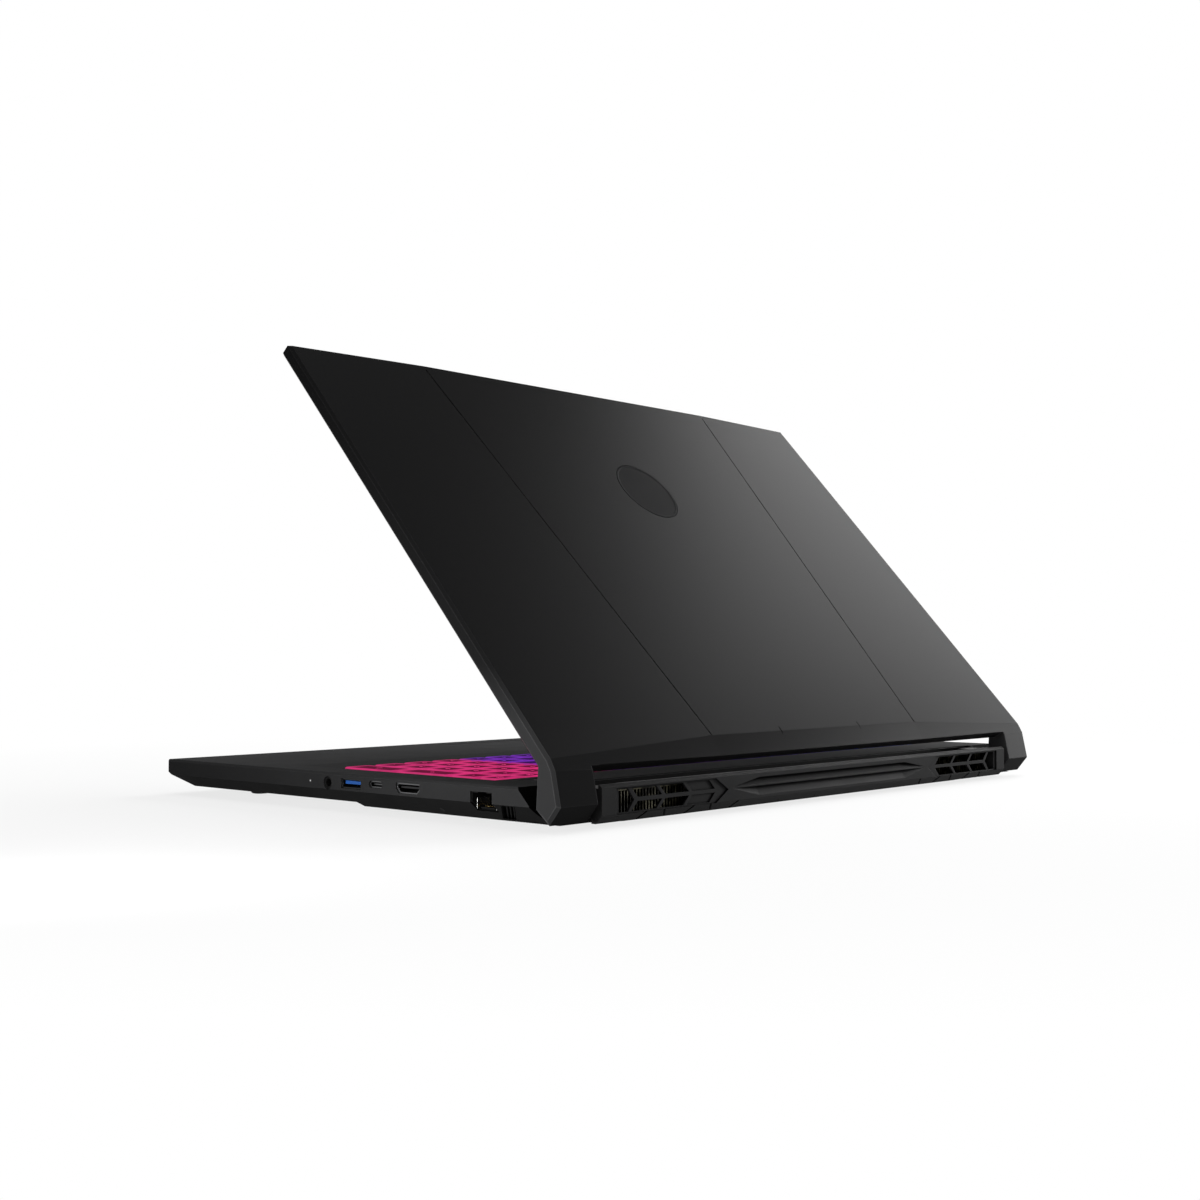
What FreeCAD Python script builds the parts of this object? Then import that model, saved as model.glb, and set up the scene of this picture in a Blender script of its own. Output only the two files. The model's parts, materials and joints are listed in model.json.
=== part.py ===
import FreeCAD, Part
import math
import os

# A 17-inch laptop computer, in millimetres. X runs to the user's right, Y to the rear, Z up.
# The origin is on the table under the middle of the part with the lid at its rest angle.

# Overall sizes
WIDTH = 398.0
BASE_FRONT = 136.6
BASE_REAR = 134.0
DECK_Z = 17.6
SEAM_Z = 10.0
FLOOR_Z = 2.5
FRONT_FLOOR_Z = 4.4
LID_THICK = 7.3
LID_GAP = 0.3

# Shell walls and edges
WALL = 1.8
DECK_WALL = 2.0
EDGE_CHAMFER = 1.0
CORNER_CHAMFER = 1.5
SIDE_TAPER = 9.0
NOSE_Z = 12.1
FRONT_SLOPE = 15.0
FLOOR_STEP_Y = 6.0
FLOOR_RAMP = 3.0
FIT = 0.3

# Hinge line and rest angle
HINGE_Y = 127.5
HINGE_Z = 11.0
REST_OPEN = 48.0
SHAFT_R = 3.0
SHAFT_CLEARANCE = 0.05
BARREL_WALL = 1.2
BARREL_LENGTH = 7.2
SHAFT_HOLE_GAP = 0.6

# Rear of the base
LEG_WIDTH = 23.3
LEG_SWEEP_R = 8.4
GRILLE_GAP = 3.7
GRILLE_TOP = 18.0
GRILLE_WALL = 2.0
GRILLE_FRONT = 112.0
GRILLE_RAIL = 2.0
RAIL_CHAMFER = 1.3
GRILLE_LEAD = 2.2
BLOCK_TOP = 16.5
BLOCK_ROOF = 1.0
DECK_REAR = 110.0
END_BLOCK = 11.5
VENT_IN = 87.0
VENT_OUT = 163.0
VENT_LOW = 5.3
VENT_HIGH = 16.2
VENT_SPINE = 1.7
VENT_TIP = 9.0
VENT_RIB = 2.2
VENT_LEAN = 4.0
VENT_EDGE = 0.6
VENT_END = 10.0
VENT_OPENINGS = 3
VENT_FRAME_DEPTH = 0.8
VENT_BLANK_DEPTH = 1.5
VENT_THROUGH = 5.0
LENS_DEPTH = 2.2
LENS_LOW = 6.6
LENS_MIDDLE = 11.3
LENS_HIGH = 14.9
LENS_LEDGE = 0.5
LENS_SHOULDER = 0.75
LENS_GAP = 2.0
GRILLE_LOW = 2.0
CHIN = 3.4
CHIN_NOTCHES = 5
CHIN_FIRST = -6.0
CHIN_PITCH = 16.0
CHIN_LEAN = 2.2
CHIN_TICKS = 4
CHIN_TICK_PITCH = 30.0
CHIN_TICK_HEIGHT = 1.1
CHIN_NOTCH_DEPTH = 0.8
CHIN_NOTCH_WIDTH = 1.5
TROUGH_LOW = 12.8
TROUGH_WALL = 1.2
TROUGH_DIP = 0.6

# Keyboard
KEY_PITCH = 18.4
KEY_GAP = 2.2
KEY_SKIRT = 0.9
KEY_TAPER = 0.9
KEY_GUIDE_FIT = 0.2
KEY_TOP = 17.5
KEY_CEILING = 16.4
KEY_SKIRT_Z = 14.9
FUNCTION_PITCH = 14.0
KEYS_FRONT = -30.0
KEY_COLUMNS = 19
FUNCTION_ROW = 5
PLATE_TOP = 13.1
PLATE_THICK = 0.8
GUIDE_THICK = 0.4
SCISSOR_TOP = 14.6
SCISSOR_RING = 2.0
WELL_MARGIN = 2.0
RECESS_DEPTH = 1.1
RECESS_EDGE = 3.0
RECESS_RAMP = 14.0
RECESS_MARGIN = 4.0

# Touchpad and power button
PAD_WIDTH = 110.0
PAD_DEPTH = 66.0
PAD_X = -28.0
PAD_FRONT_MARGIN = 14.6
PAD_TOP = 17.4
PAD_THICK = 1.2
BUTTON_X = 165.0
BUTTON_Y = 91.5
BUTTON_WIDTH = 16.0
BUTTON_DEPTH = 7.0
BUTTON_TRAVEL = 0.5
BUTTON_FLANGE = 0.5
BUTTON_FLANGE_WIDTH = 1.0
BUTTON_STOP = 0.05
SWITCH_SIZE = (6.0, 4.0)
SWITCH_HEIGHT = 0.8
SWITCH_BOARD = 0.8
SWITCH_BOARD_DROP = 1.4
SWITCH_BOARD_MARGIN = (3.0, 1.5)
SWITCH_POST_R = 0.7
SWITCH_POST_IN = 0.9
PAD_SEAT = 0.1
TRAY_LOW = 13.0
TRAY_WALL = 1.6
TRAY_MARGIN = 4.0
TRAY_FLOOR = 0.8
TRAY_BEARER = 1.0

# Inside of the base
BOARD_Z = 9.6
BOARD_THICK = 1.2
FAN_X = 125.0
FAN_Y = 79.0
FAN_SIZE = 62.0
FAN_R = 24.0
FAN_TOP = 11.6
FAN_PLATE = 0.6
FAN_PIN_R = 1.5
FAN_PIN_CLEARANCE = 0.05
FAN_BLADES = 19
FIN_Y0 = 117.0
FIN_Y1 = 129.0
FIN_X0 = 92.0
FIN_X1 = 160.0
FIN_Z0 = 4.6
FIN_Z1 = 12.5
FIN_REAR_Z1 = 14.8
FIN_PITCH = 2.0
FIN_THICK = 0.4
FAN_TIP_GAP = 2.5
FAN_INTAKE_R = 19.0
FAN_HUB_R = 9.0
FAN_HUB_GAP = 0.5
FAN_BLADE = 0.6
FAN_BLADE_ROOT = 1.0
FAN_BLADE_GAP = 0.3
FAN_BLADE_LEAN = 28.0
PIPE_X = 26.0
PIPE_WIDTH = 6.0
PIPE_THICK = 3.0
CHIP_THICK = 1.4
CHIP_SIZE = 34.0
CHIP_Y = 44.0
MEMORY_CHIPS = 3
MEMORY_CHIP_X = 61.0
MEMORY_CHIP_WIDTH = 10.0
MEMORY_CHIP_DEPTH = 12.0
MEMORY_CHIP_PITCH = 14.0
MEMORY_CHIP_THICK = 1.0
BOARD_FRONT = -30.0
BOARD_REAR = 100.0
BOARD_SIDE = 7.0
LEFT_WING_FRONT = -14.0
BOARD_FAN_GAP = 2.0
BOARD_STRIP_GAP = 4.0
ETHERNET_MARGIN = 4.0
INLET_MARGIN = 10.0
MEMORY_X = -62.0
MEMORY_Y = -24.0
MEMORY_LENGTH = 69.6
MEMORY_DEPTH = 30.0
MEMORY_THICK = 1.2
MEMORY_PITCH = 1.5
SSD_X = 95.0
SSD_LENGTH = 80.0
SSD_DEPTH = 22.0
SSD_THICK = 1.8
WIRELESS_X = -125.0
WIRELESS_Y = 8.0
WIRELESS_LENGTH = 30.0
WIRELESS_DEPTH = 22.0
WIRELESS_THICK = 1.6
BATTERY_HALF = 128.0
BATTERY_CELLS = 4
BATTERY_FRONT = -99.0
BATTERY_REAR = -40.0
BATTERY_TOP = 12.0
BATTERY_SEAM = 2.0
BATTERY_SEAM_DEPTH = 1.0
SPEAKER_X = 141.0
SPEAKER_TOP = 11.0
SPEAKER_WIDTH = 36.0
SPEAKER_DEPTH = 44.0
SPEAKER_CONE_R = 13.0
SPEAKER_CONE_DEPTH = 1.0

# Fasteners and bosses
SCREW_R = 1.2
SCREW_HEAD_R = 2.6
SCREW_HEAD = 1.0
SCREW_LENGTH = 6.0
SCREW_CLEARANCE = 0.05
SCREW_BOSS_R = 3.0
SCREW_TIP_GAP = 0.5
DRIVER_LENGTH = 2.4
DRIVER_WIDTH = 0.6
DRIVER_DEPTH = 0.5
SIDE_SCREW_IN = 15.0
REAR_SCREW_BACK = 4.0
SIDE_SCREW_Y = (-98.0, -42.0, 70.0)
FRONT_SCREW_X = 92.0
FRONT_SCREW_BACK = 31.0
BOARD_BOSS_R = 2.5
BOARD_BOSSES = ((-80.0, -20.0), (80.0, -20.0), (-85.0, 94.0), (85.0, 94.0),
                (179.0, -20.0), (-170.0, 0.0))
HINGE_SCREWS = ((156.0, 100.0), (156.0, 105.0), (166.0, 100.0))
HINGE_SCREW_GRIP = 1.2
HINGE_SCREW_HEAD_R = 2.2
HINGE_SCREW_TIP_GAP = 0.2
HINGE_FOOT = 18.0
HINGE_FOOT_FRONT = 97.5
HINGE_FOOT_REAR = 108.5
HINGE_FOOT_THICK = 3.0
HINGE_ARM_LAP = 4.5
HINGE_ARM_DROP = 1.4
HINGE_ARM_RISE = 0.8
FOOT_DEPTH = 9.0
FOOT_CORNER = 2.25
REAR_FOOT = 290.0
REAR_FOOT_Y = 116.0
FRONT_FOOT = 60.0
FRONT_FOOT_X = 140.0
FRONT_FOOT_Y = -104.0

# Openings in the shells, and how far a cutting block runs past the face that it opens
CUT = 1.0
FAR_CUT = 10.0
LEG_CLEARANCE = 0.8
LEG_NOTCH_RISE = 6.0
PORT_FIT = 0.1
BOTTOM_REAR = 128.0
RIM_WIDTH = 2.0
INTAKE_ROWS = 3
INTAKE_COLUMNS = 9
INTAKE_PITCH = 5.0
INTAKE_BRIDGE = 4.0
INTAKE_LENGTH = 12.0
INTAKE_WIDTH = 2.0
LOUVRE_Y = 102.8
LOUVRE_LENGTH = 8.0
LOUVRE_LEAN = 6.3
LOUVRE_LOW = 3.4
LOUVRE_HIGH = 9.6
LOUVRE_DEPTH = 6.0
LOUVRE_RIBS = 3
LOUVRE_RIB = 0.8
LOUVRE_RIB_BACK = 1.2
SERRATIONS = 12
SERRATION_Y = 100.0
SERRATION_PITCH = 1.6
SERRATION_WIDTH = 3.0
SERRATION_HEIGHT = 0.8

# Ports along the right side: centre along Y, width, lowest and highest edge, shape of the outline
PORT_INSET = 0.8
PORT_CORNER = 1.9
PORT_BACK = 2.0
PORT_HOLE = 10.0
ETHERNET_DEPTH = 18.0
SOCKET_DEPTH = 15.0
SOCKET_WALL = 0.5
JACK_Y = -7.9
JACK_Z = 12.8
JACK_R = 2.9
JACK_BORE_R = 1.8
JACK_BODY = 7.0
TUBE_OVERLAP = 2.0
LED_Y = -20.3
LED_Z = 13.1
LED_R = 0.7
USB_A = (8.4, 13.6, 11.0, 15.3, "square")
USB_C = (25.3, 8.8, 12.3, 15.3, "round")
HDMI = (46.4, 15.1, 11.0, 15.4, "cut")
ETHERNET = (91.6, 12.6, 6.3, 14.5, "square")
LATCH_WIDTH = 5.0
LATCH_HEIGHT = 2.0
USB_A_LEFT = (-4.0, 22.0)

# Contact tongues: drop below the port's top edge, thickness, margin at each end
TONGUE_INSET = 1.0
USB_A_TONGUE = (1.0, 1.4, 1.2)
USB_C_TONGUE = (1.15, 0.7, 1.4)
HDMI_TONGUE = (1.4, 0.8, 1.6)
ETHERNET_TONGUE = (6.6, 1.0, 2.2)

# Power inlet on the left side
INLET_Y = 62.0
INLET_Z = 12.4
INLET_R = 2.9
INLET_BORE_R = 2.35
INLET_PIN_R = 0.8
INLET_BODY = 8.0

# Lid
LID_LIP = 2.2
LID_FRONT_FLAT = 114.0
LID_EDGE_CHAMFER = 1.4
LID_REAR = 119.2
LID_CREASE_Y = 108.6
LID_CREASE_SIDE_Y = 115.0
LID_CREASE_FLAT = 88.0
LID_FACET_TILT = 12.1
LID_FACET_REACH = 40.0
GROOVE_WIDTH = 0.7
GROOVE_DEPTH = 0.45
GROOVE_PAST = 0.1
GROOVE_FRONT_X = 114.0
GROOVE_MARGIN = 4.0
LID_REAR_LEAN = 1.4
LID_CORNER_BACK = 0.4
LID_STEP_Y = 104.0
LID_LOW_INNER = 21.4
LEG_WALL_Y = 112.0
LEG_HEEL_TRIM = 3.0
LEG_COVER = 1.2
LEG_COVER_ROOM = 0.5
LEG_THROAT_ROOM = 2.0
TICK_X = 34.0
TICK_LENGTH = 5.0
BEZEL_THICK = 0.7
PANEL_THICK = 3.2
SCREEN_WIDTH = 382.0
SCREEN_DEPTH = 215.0
PANEL_WIDTH = 390.0
PANEL_DEPTH = 228.0
SCREEN_MARGIN = 5.9
PANEL_LAP = 2.5
WEBCAM_Y = -133.6
LENS_R = 1.5
LENS_SUNK = 0.1
WEBCAM_WIDTH = 50.0
HINGE_ARM = 10.0
HINGE_BAR = 2.2
HINGE_BAR_LENGTH = 12.0
HINGE_LINK = 3.0
HINGE_STRAP = 44.0
BUMPER_EDGE = 6.0
BUMPER_R = 2.0
BUMPER_HEIGHT = 0.24
BUMPER_REAR_Y = 100.0
CABLE_X = 40.0
CABLE_WIDTH = 6.0
CABLE_THICK = 0.5
CABLE_GAP = 2.0
ANTENNA_X = 40.0
ANTENNA_LENGTH = 60.0
ANTENNA_WIDTH = 6.0
ANTENNA_THICK = 0.5
ANTENNA_LAP = 1.0
BADGE_FIT = 0.1
BADGE_R = 20.0
BADGE_Y = -58.0
BADGE_THICK = 0.6
BADGE_PROUD = 0.1

# Values worked out from the sizes above
HALF = WIDTH / 2.0
FRONT_Y = -BASE_FRONT
LID_Z0 = DECK_Z + LID_GAP
LID_Z1 = LID_Z0 + LID_THICK
LID_FRONT = FRONT_Y - LID_LIP
LEG_IN = HALF - LEG_WIDTH
GRILLE_HALF = LEG_IN - GRILLE_GAP
FLOOR_TOP = FLOOR_Z + WALL
FRONT_FLOOR_TOP = FRONT_FLOOR_Z + WALL
DECK_UNDER = DECK_Z - DECK_WALL
SEAM_FRONT = FRONT_Y + FRONT_SLOPE * (NOSE_Z - SEAM_Z) / (NOSE_Z - FRONT_FLOOR_Z)
BARREL_R = SHAFT_R + BARREL_WALL
SHAFT_HOLE_R = SHAFT_R + SHAFT_HOLE_GAP
KEYS_HALF = KEY_COLUMNS * KEY_PITCH / 2.0
KEYS_REAR = KEYS_FRONT + 5.0 * KEY_PITCH + FUNCTION_PITCH
WELL_HALF = KEYS_HALF + WELL_MARGIN
WELL_FRONT = KEYS_FRONT - WELL_MARGIN
WELL_REAR = KEYS_REAR + WELL_MARGIN
PAD_FRONT = FRONT_Y + PAD_FRONT_MARGIN
PAD_REAR = PAD_FRONT + PAD_DEPTH
PANEL_Z0 = LID_Z0 + BEZEL_THICK
PANEL_Z1 = PANEL_Z0 + PANEL_THICK
LID_INNER = LID_Z1 - WALL
SCREEN_Y0 = FRONT_Y + SCREEN_MARGIN
SCREEN_Y1 = SCREEN_Y0 + SCREEN_DEPTH
PANEL_Y0 = SCREEN_Y0 - PANEL_LAP
PANEL_Y1 = PANEL_Y0 + PANEL_DEPTH

# Leg outline from the hinge line, in the closed lid's position
LEG_TIP = (6.9, -4.0)
LEG_HEEL = (-2.4, -5.5)
LEG_BACK = (5.4, 5.7)
LEG_SHOULDER = (-7.3, 13.0)
LEG_THROAT_Y = -14.6

X_AXIS = FreeCAD.Vector(1, 0, 0)
Z_AXIS = FreeCAD.Vector(0, 0, 1)


def vec(x, y, z):
    """A point or a direction."""
    return FreeCAD.Vector(x, y, z)


def box(x0, x1, y0, y1, z0, z1):
    """A block between two corners."""
    return Part.makeBox(x1 - x0, y1 - y0, z1 - z0, vec(x0, y0, z0))


def prism(points, move):
    """A flat outline pushed along a vector."""
    wire = Part.makePolygon(points + [points[0]])
    return Part.Face(wire).extrude(move)


def prism_x(outline, x0, x1):
    """An outline of (y, z) points pushed along X."""
    return prism([vec(x0, y, z) for y, z in outline], vec(x1 - x0, 0, 0))


def prism_y(outline, y0, y1):
    """An outline of (x, z) points pushed along Y."""
    return prism([vec(x, y0, z) for x, z in outline], vec(0, y1 - y0, 0))


def prism_z(outline, z0, z1):
    """An outline of (x, y) points pushed along Z."""
    return prism([vec(x, y, z0) for x, y in outline], vec(0, 0, z1 - z0))


def rod(x, y, z, direction, radius, length):
    """A cylinder from a point along a direction."""
    return Part.makeCylinder(radius, length, vec(x, y, z), direction)


def inset(outline, wall):
    """Move each side of an anticlockwise outline inwards by a wall."""
    lines = []
    for (ax, ay), (bx, by) in zip(outline, outline[1:] + outline[:1]):
        length = math.hypot(bx - ax, by - ay)
        nx = -(by - ay) / length
        ny = (bx - ax) / length
        lines.append((nx, ny, nx * ax + ny * ay + wall))
    corners = []
    for (a, b, c), (d, e, f) in zip(lines[-1:] + lines[:-1], lines):
        det = a * e - b * d
        corners.append(((c * e - b * f) / det, (a * f - c * d) / det))
    return corners


def mirrored(shape):
    """The same piece on the other side of the middle plane."""
    return shape.mirror(vec(0, 0, 0), X_AXIS)


def both(shape):
    """A piece and its mirror image."""
    return [shape, mirrored(shape)]


def join(shapes):
    """One solid made of shapes that meet."""
    whole = shapes[0].fuse(shapes[1:]) if len(shapes) > 1 else shapes[0]
    return whole.removeSplitter()


def opened(shape):
    """A lid piece turned from the closed position to the rest angle."""
    turned = shape.copy()
    turned.rotate(vec(0, HINGE_Y, HINGE_Z), X_AXIS, -REST_OPEN)
    return turned


def save(name, shapes):
    """Write one node."""
    solids = [solid for shape in shapes for solid in shape.Solids]
    whole = solids[0] if len(solids) == 1 else Part.makeCompound(solids)
    whole.exportStep("parts/" + name + ".step")


def save_lid(name, shapes):
    """Write one node of the lid at its rest angle."""
    save(name, [opened(shape) for shape in shapes])


# Base shells


def base_plan(rear, grow):
    """Plan outline of the base with its chamfered front corners, moved outwards by grow."""
    half = HALF + grow
    front = FRONT_Y - grow
    cut = CORNER_CHAMFER
    return [(half - cut, front), (half, front + cut), (half, rear), (-half, rear),
            (-half, front + cut), (cut - half, front)]


def bottom_side(rear, top):
    """Side outline of the bottom cover, with its sloped nose and the step in its floor."""
    ramp = FLOOR_RAMP / 2.0
    return [(SEAM_FRONT, top), (SEAM_FRONT, SEAM_Z), (FRONT_Y + FRONT_SLOPE, FRONT_FLOOR_Z),
            (FLOOR_STEP_Y - ramp, FRONT_FLOOR_Z), (FLOOR_STEP_Y + ramp, FLOOR_Z),
            (rear, FLOOR_Z), (rear, top)]


def bottom_front(top):
    """Front outline of the bottom cover, narrower at the floor than at the seam."""
    low = HALF - SIDE_TAPER
    return [(-HALF, top), (-HALF, SEAM_Z), (-low, FLOOR_Z), (low, FLOOR_Z), (HALF, SEAM_Z), (HALF, top)]


def leg_notch(grow):
    """The room that a lid leg sweeps at the right rear corner of the base."""
    throat = vec(0, HINGE_Y + LEG_THROAT_Y, LID_Z0)
    heel = vec(0, HINGE_Y + LEG_HEEL[0], HINGE_Z + LEG_HEEL[1])
    along = (heel - throat).normalize()
    away = X_AXIS.cross(along) * -(LEG_CLEARANCE + grow)
    start = throat - along * LEG_NOTCH_RISE + away
    end = heel + away
    far = BASE_REAR + FAR_CUT
    x0 = GRILLE_HALF + FIT - grow
    x1 = HALF + CUT
    slanted = prism_x([(start.y, start.z), (end.y, end.z), (far, end.z), (far, start.z)], x0, x1)
    sweep = rod(x0, HINGE_Y, HINGE_Z, X_AXIS, LEG_SWEEP_R + grow, x1 - x0)
    behind = box(x0, x1, HINGE_Y - grow, far, -FAR_CUT, start.z)
    return join([slanted, sweep, behind])


def port_block(port, grow, x0, x1):
    """A block with a port's outline, moved outwards by grow, between two places along X."""
    middle, width, low, high, shape = port
    y0 = middle - width / 2.0 - grow
    y1 = middle + width / 2.0 + grow
    z0 = low - grow
    z1 = high + grow
    if shape == "square":
        return box(x0, x1, y0, y1, z0, z1)
    if shape == "cut":
        corner = PORT_CORNER
        return prism_x([(y0, z1), (y0, z0 + corner), (y0 + corner, z0), (y1 - corner, z0),
                        (y1, z0 + corner), (y1, z1)], x0, x1)
    radius = (z1 - z0) / 2.0
    ends = [rod(x0, y, z0 + radius, X_AXIS, radius, x1 - x0) for y in (y0 + radius, y1 - radius)]
    return join([box(x0, x1, y0 + radius, y1 - radius, z0, z1)] + ends)


def port_holes():
    """Holes in the right side wall for the ports and the status light."""
    x0 = HALF - PORT_HOLE
    x1 = HALF + CUT
    holes = [rod(x0, JACK_Y, JACK_Z, X_AXIS, JACK_R + PORT_FIT, x1 - x0),
             rod(x0, LED_Y, LED_Z, X_AXIS, LED_R + PORT_FIT, x1 - x0)]
    return holes + [port_block(port, PORT_FIT, x0, x1) for port in (USB_A, USB_C, HDMI, ETHERNET)]


def left_port_holes():
    """Holes in the left side wall for two more sockets and the power inlet."""
    x0 = HALF - PORT_HOLE
    x1 = HALF + CUT
    holes = [mirrored(rod(x0, INLET_Y, INLET_Z, X_AXIS, INLET_R + PORT_FIT, x1 - x0))]
    for middle in USB_A_LEFT:
        holes.append(mirrored(port_block((middle,) + USB_A[1:], PORT_FIT, x0, x1)))
    return holes


def screw_places():
    """Where the bottom screws go."""
    side = HALF - SIDE_SCREW_IN
    places = [(side * sign, y) for sign in (-1, 1) for y in SIDE_SCREW_Y]
    places += [(FRONT_SCREW_X * sign, FRONT_Y + FRONT_SCREW_BACK) for sign in (-1, 1)]
    return places + [(0.0, DECK_REAR - REAR_SCREW_BACK)]


def floor_at(y):
    """Outer and inner height of the floor at a place along Y."""
    low = FLOOR_Z if y > FLOOR_STEP_Y else FRONT_FLOOR_Z
    return low, low + WALL


def bottom_cover():
    """The tray under the base, with screw holes, intake slots and bosses for the board."""
    rear = BOTTOM_REAR
    behind = rear + FAR_CUT
    above = SEAM_Z + FAR_CUT
    outer = prism_x(bottom_side(rear, SEAM_Z), -HALF, HALF)
    outer = outer.common(prism_y(bottom_front(SEAM_Z), FRONT_Y, rear))
    outer = outer.common(prism_z(base_plan(rear, 0.0), 0.0, SEAM_Z))
    inner = prism_x(inset(bottom_side(behind, above), WALL), -HALF, HALF)
    inner = inner.common(prism_y(inset(bottom_front(above), WALL), FRONT_Y, behind))
    inner = inner.common(prism_z(base_plan(behind, -WALL), 0.0, above))
    for notch in both(leg_notch(WALL)):
        inner = inner.cut(notch)
    shell = outer.cut([inner] + both(leg_notch(0.0)))
    grille_x = GRILLE_HALF + FIT
    room = box(-grille_x, grille_x, GRILLE_FRONT - FIT, behind, FLOOR_TOP, above)
    bosses = []
    for x, y in BOARD_BOSSES:
        top = floor_at(y)[1]
        bosses.append(rod(x, y, top, Z_AXIS, BOARD_BOSS_R, BOARD_Z - top))
    shell = shell.cut(room).fuse(bosses)
    cuts = port_holes() + left_port_holes() + intake_slots() + side_louvres() + edge_serrations()
    for x, y in screw_places():
        low = floor_at(y)[0]
        cuts.append(rod(x, y, low - CUT, Z_AXIS, SCREW_R + SCREW_CLEARANCE, WALL + 2.0 * CUT))
        cuts.append(rod(x, y, low - CUT, Z_AXIS, SCREW_HEAD_R + SCREW_CLEARANCE, SCREW_HEAD + CUT))
    save("bottom_cover", [shell.cut(cuts).removeSplitter()])


def intake_slots():
    """Rows of air slots in the floor under both fans."""
    slots = []
    half_x = INTAKE_WIDTH / 2.0
    half_y = INTAKE_LENGTH / 2.0
    for row in range(INTAKE_ROWS):
        y = FAN_Y + (row - (INTAKE_ROWS - 1) / 2.0) * (INTAKE_LENGTH + INTAKE_BRIDGE)
        for column in range(INTAKE_COLUMNS):
            x = FAN_X + (column - (INTAKE_COLUMNS - 1) / 2.0) * INTAKE_PITCH
            slots += both(box(x - half_x, x + half_x, y - half_y, y + half_y,
                              FLOOR_Z - CUT, FLOOR_TOP + CUT))
    return slots


def leaning_block(y, length, x0, x1):
    """A block across the side wall whose foot lies further forward than its top."""
    foot = y - LOUVRE_LEAN
    return prism_x([(foot, LOUVRE_LOW), (foot + length, LOUVRE_LOW), (y + length, LOUVRE_HIGH),
                    (y, LOUVRE_HIGH)], x0, x1)


def side_louvres():
    """The dark outlet low on each side, just ahead of the leg, with ribs set back in it."""
    inner = HALF - SIDE_TAPER - LOUVRE_DEPTH
    back = LOUVRE_RIB_BACK
    behind = prism_y([(inner, FLOOR_Z), (HALF - SIDE_TAPER - back, FLOOR_Z), (HALF - back, SEAM_Z),
                      (inner, SEAM_Z)], LOUVRE_Y - LOUVRE_LEAN, LOUVRE_Y + LOUVRE_LENGTH)
    ribs = []
    for step in range(LOUVRE_RIBS):
        y = LOUVRE_Y + (step + 1) * LOUVRE_LENGTH / (LOUVRE_RIBS + 1) - LOUVRE_RIB / 2.0
        ribs.append(leaning_block(y, LOUVRE_RIB, inner, HALF).common(behind))
    return both(leaning_block(LOUVRE_Y, LOUVRE_LENGTH, inner, HALF + CUT).cut(ribs))


def edge_serrations():
    """Small notches along the floor's side edge near the rear."""
    notches = []
    edge = HALF - SIDE_TAPER
    for step in range(SERRATIONS):
        y = SERRATION_Y + step * SERRATION_PITCH
        notches += both(box(edge - CUT, edge + SERRATION_WIDTH, y, y + SERRATION_PITCH / 2.0,
                            FLOOR_Z - CUT, FLOOR_Z + SERRATION_HEIGHT))
    return notches


def top_case():
    """The deck and the upper side walls, with the keyboard well, the touchpad opening and the ports."""
    rear = HINGE_Y
    edge = EDGE_CHAMFER
    above = DECK_Z + CUT
    side = [(SEAM_FRONT, SEAM_Z), (rear, SEAM_Z), (rear, DECK_Z), (FRONT_Y + edge, DECK_Z),
            (FRONT_Y, DECK_Z - edge), (FRONT_Y, NOSE_Z)]
    front = [(-HALF, SEAM_Z), (HALF, SEAM_Z), (HALF, DECK_Z - edge), (HALF - edge, DECK_Z),
             (edge - HALF, DECK_Z), (-HALF, DECK_Z - edge)]
    outer = prism_x(side, -HALF, HALF).common(prism_y(front, FRONT_Y, rear))
    outer = outer.common(prism_z(base_plan(rear, 0.0), SEAM_Z, DECK_Z))
    inner = prism_z(base_plan(rear + FAR_CUT, -DECK_WALL), SEAM_Z - CUT, DECK_UNDER)
    inner = inner.cut(box(-HALF, HALF, FRONT_Y, SEAM_FRONT + DECK_WALL, SEAM_Z - 2.0 * CUT, NOSE_Z + CUT))
    for notch in both(leg_notch(WALL)):
        inner = inner.cut(notch)
    grille_x = GRILLE_HALF + FIT
    trough = box(-grille_x, grille_x, DECK_REAR, rear + CUT, 0.0, above)
    shell = outer.cut([inner, trough] + both(leg_notch(0.0)))
    rim_x = WELL_HALF + RIM_WIDTH
    rim = box(-rim_x, rim_x, WELL_FRONT - RIM_WIDTH, WELL_REAR + RIM_WIDTH, PLATE_TOP, DECK_UNDER)
    bosses = []
    threads = []
    for x, y in screw_places():
        top = floor_at(y)[1]
        bosses.append(rod(x, y, top, Z_AXIS, SCREW_BOSS_R, DECK_UNDER - top))
        threads.append(rod(x, y, 0.0, Z_AXIS, SCREW_R + SCREW_CLEARANCE, SCREW_LENGTH + top))
    for x, y in HINGE_SCREWS:
        threads += both(rod(x, y, DECK_UNDER, Z_AXIS, SCREW_R + SCREW_CLEARANCE, HINGE_SCREW_GRIP))
    shell = shell.fuse([rim] + bosses)
    well = box(-WELL_HALF, WELL_HALF, WELL_FRONT, WELL_REAR, 0.0, above)
    zone = WELL_HALF + RECESS_MARGIN
    low = DECK_Z - RECESS_DEPTH
    y0 = WELL_FRONT - RECESS_EDGE
    y1 = WELL_REAR + RECESS_EDGE
    start = y0 - RECESS_RAMP
    recess = prism_x([(start, DECK_Z), (y0, low), (y1, low), (y1, above), (start, above)], -zone, zone)
    pad_x = PAD_WIDTH / 2.0 + FIT
    pad = box(PAD_X - pad_x, PAD_X + pad_x, PAD_FRONT - FIT, PAD_REAR + FIT, 0.0, above)
    button_x = BUTTON_WIDTH / 2.0 + FIT
    button_y = BUTTON_DEPTH / 2.0 + FIT
    button = box(BUTTON_X - button_x, BUTTON_X + button_x, BUTTON_Y - button_y, BUTTON_Y + button_y,
                 0.0, above)
    cuts = [well, recess, pad, button] + threads + port_holes() + left_port_holes()
    save("top_case", [shell.cut(cuts).removeSplitter()])


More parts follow.
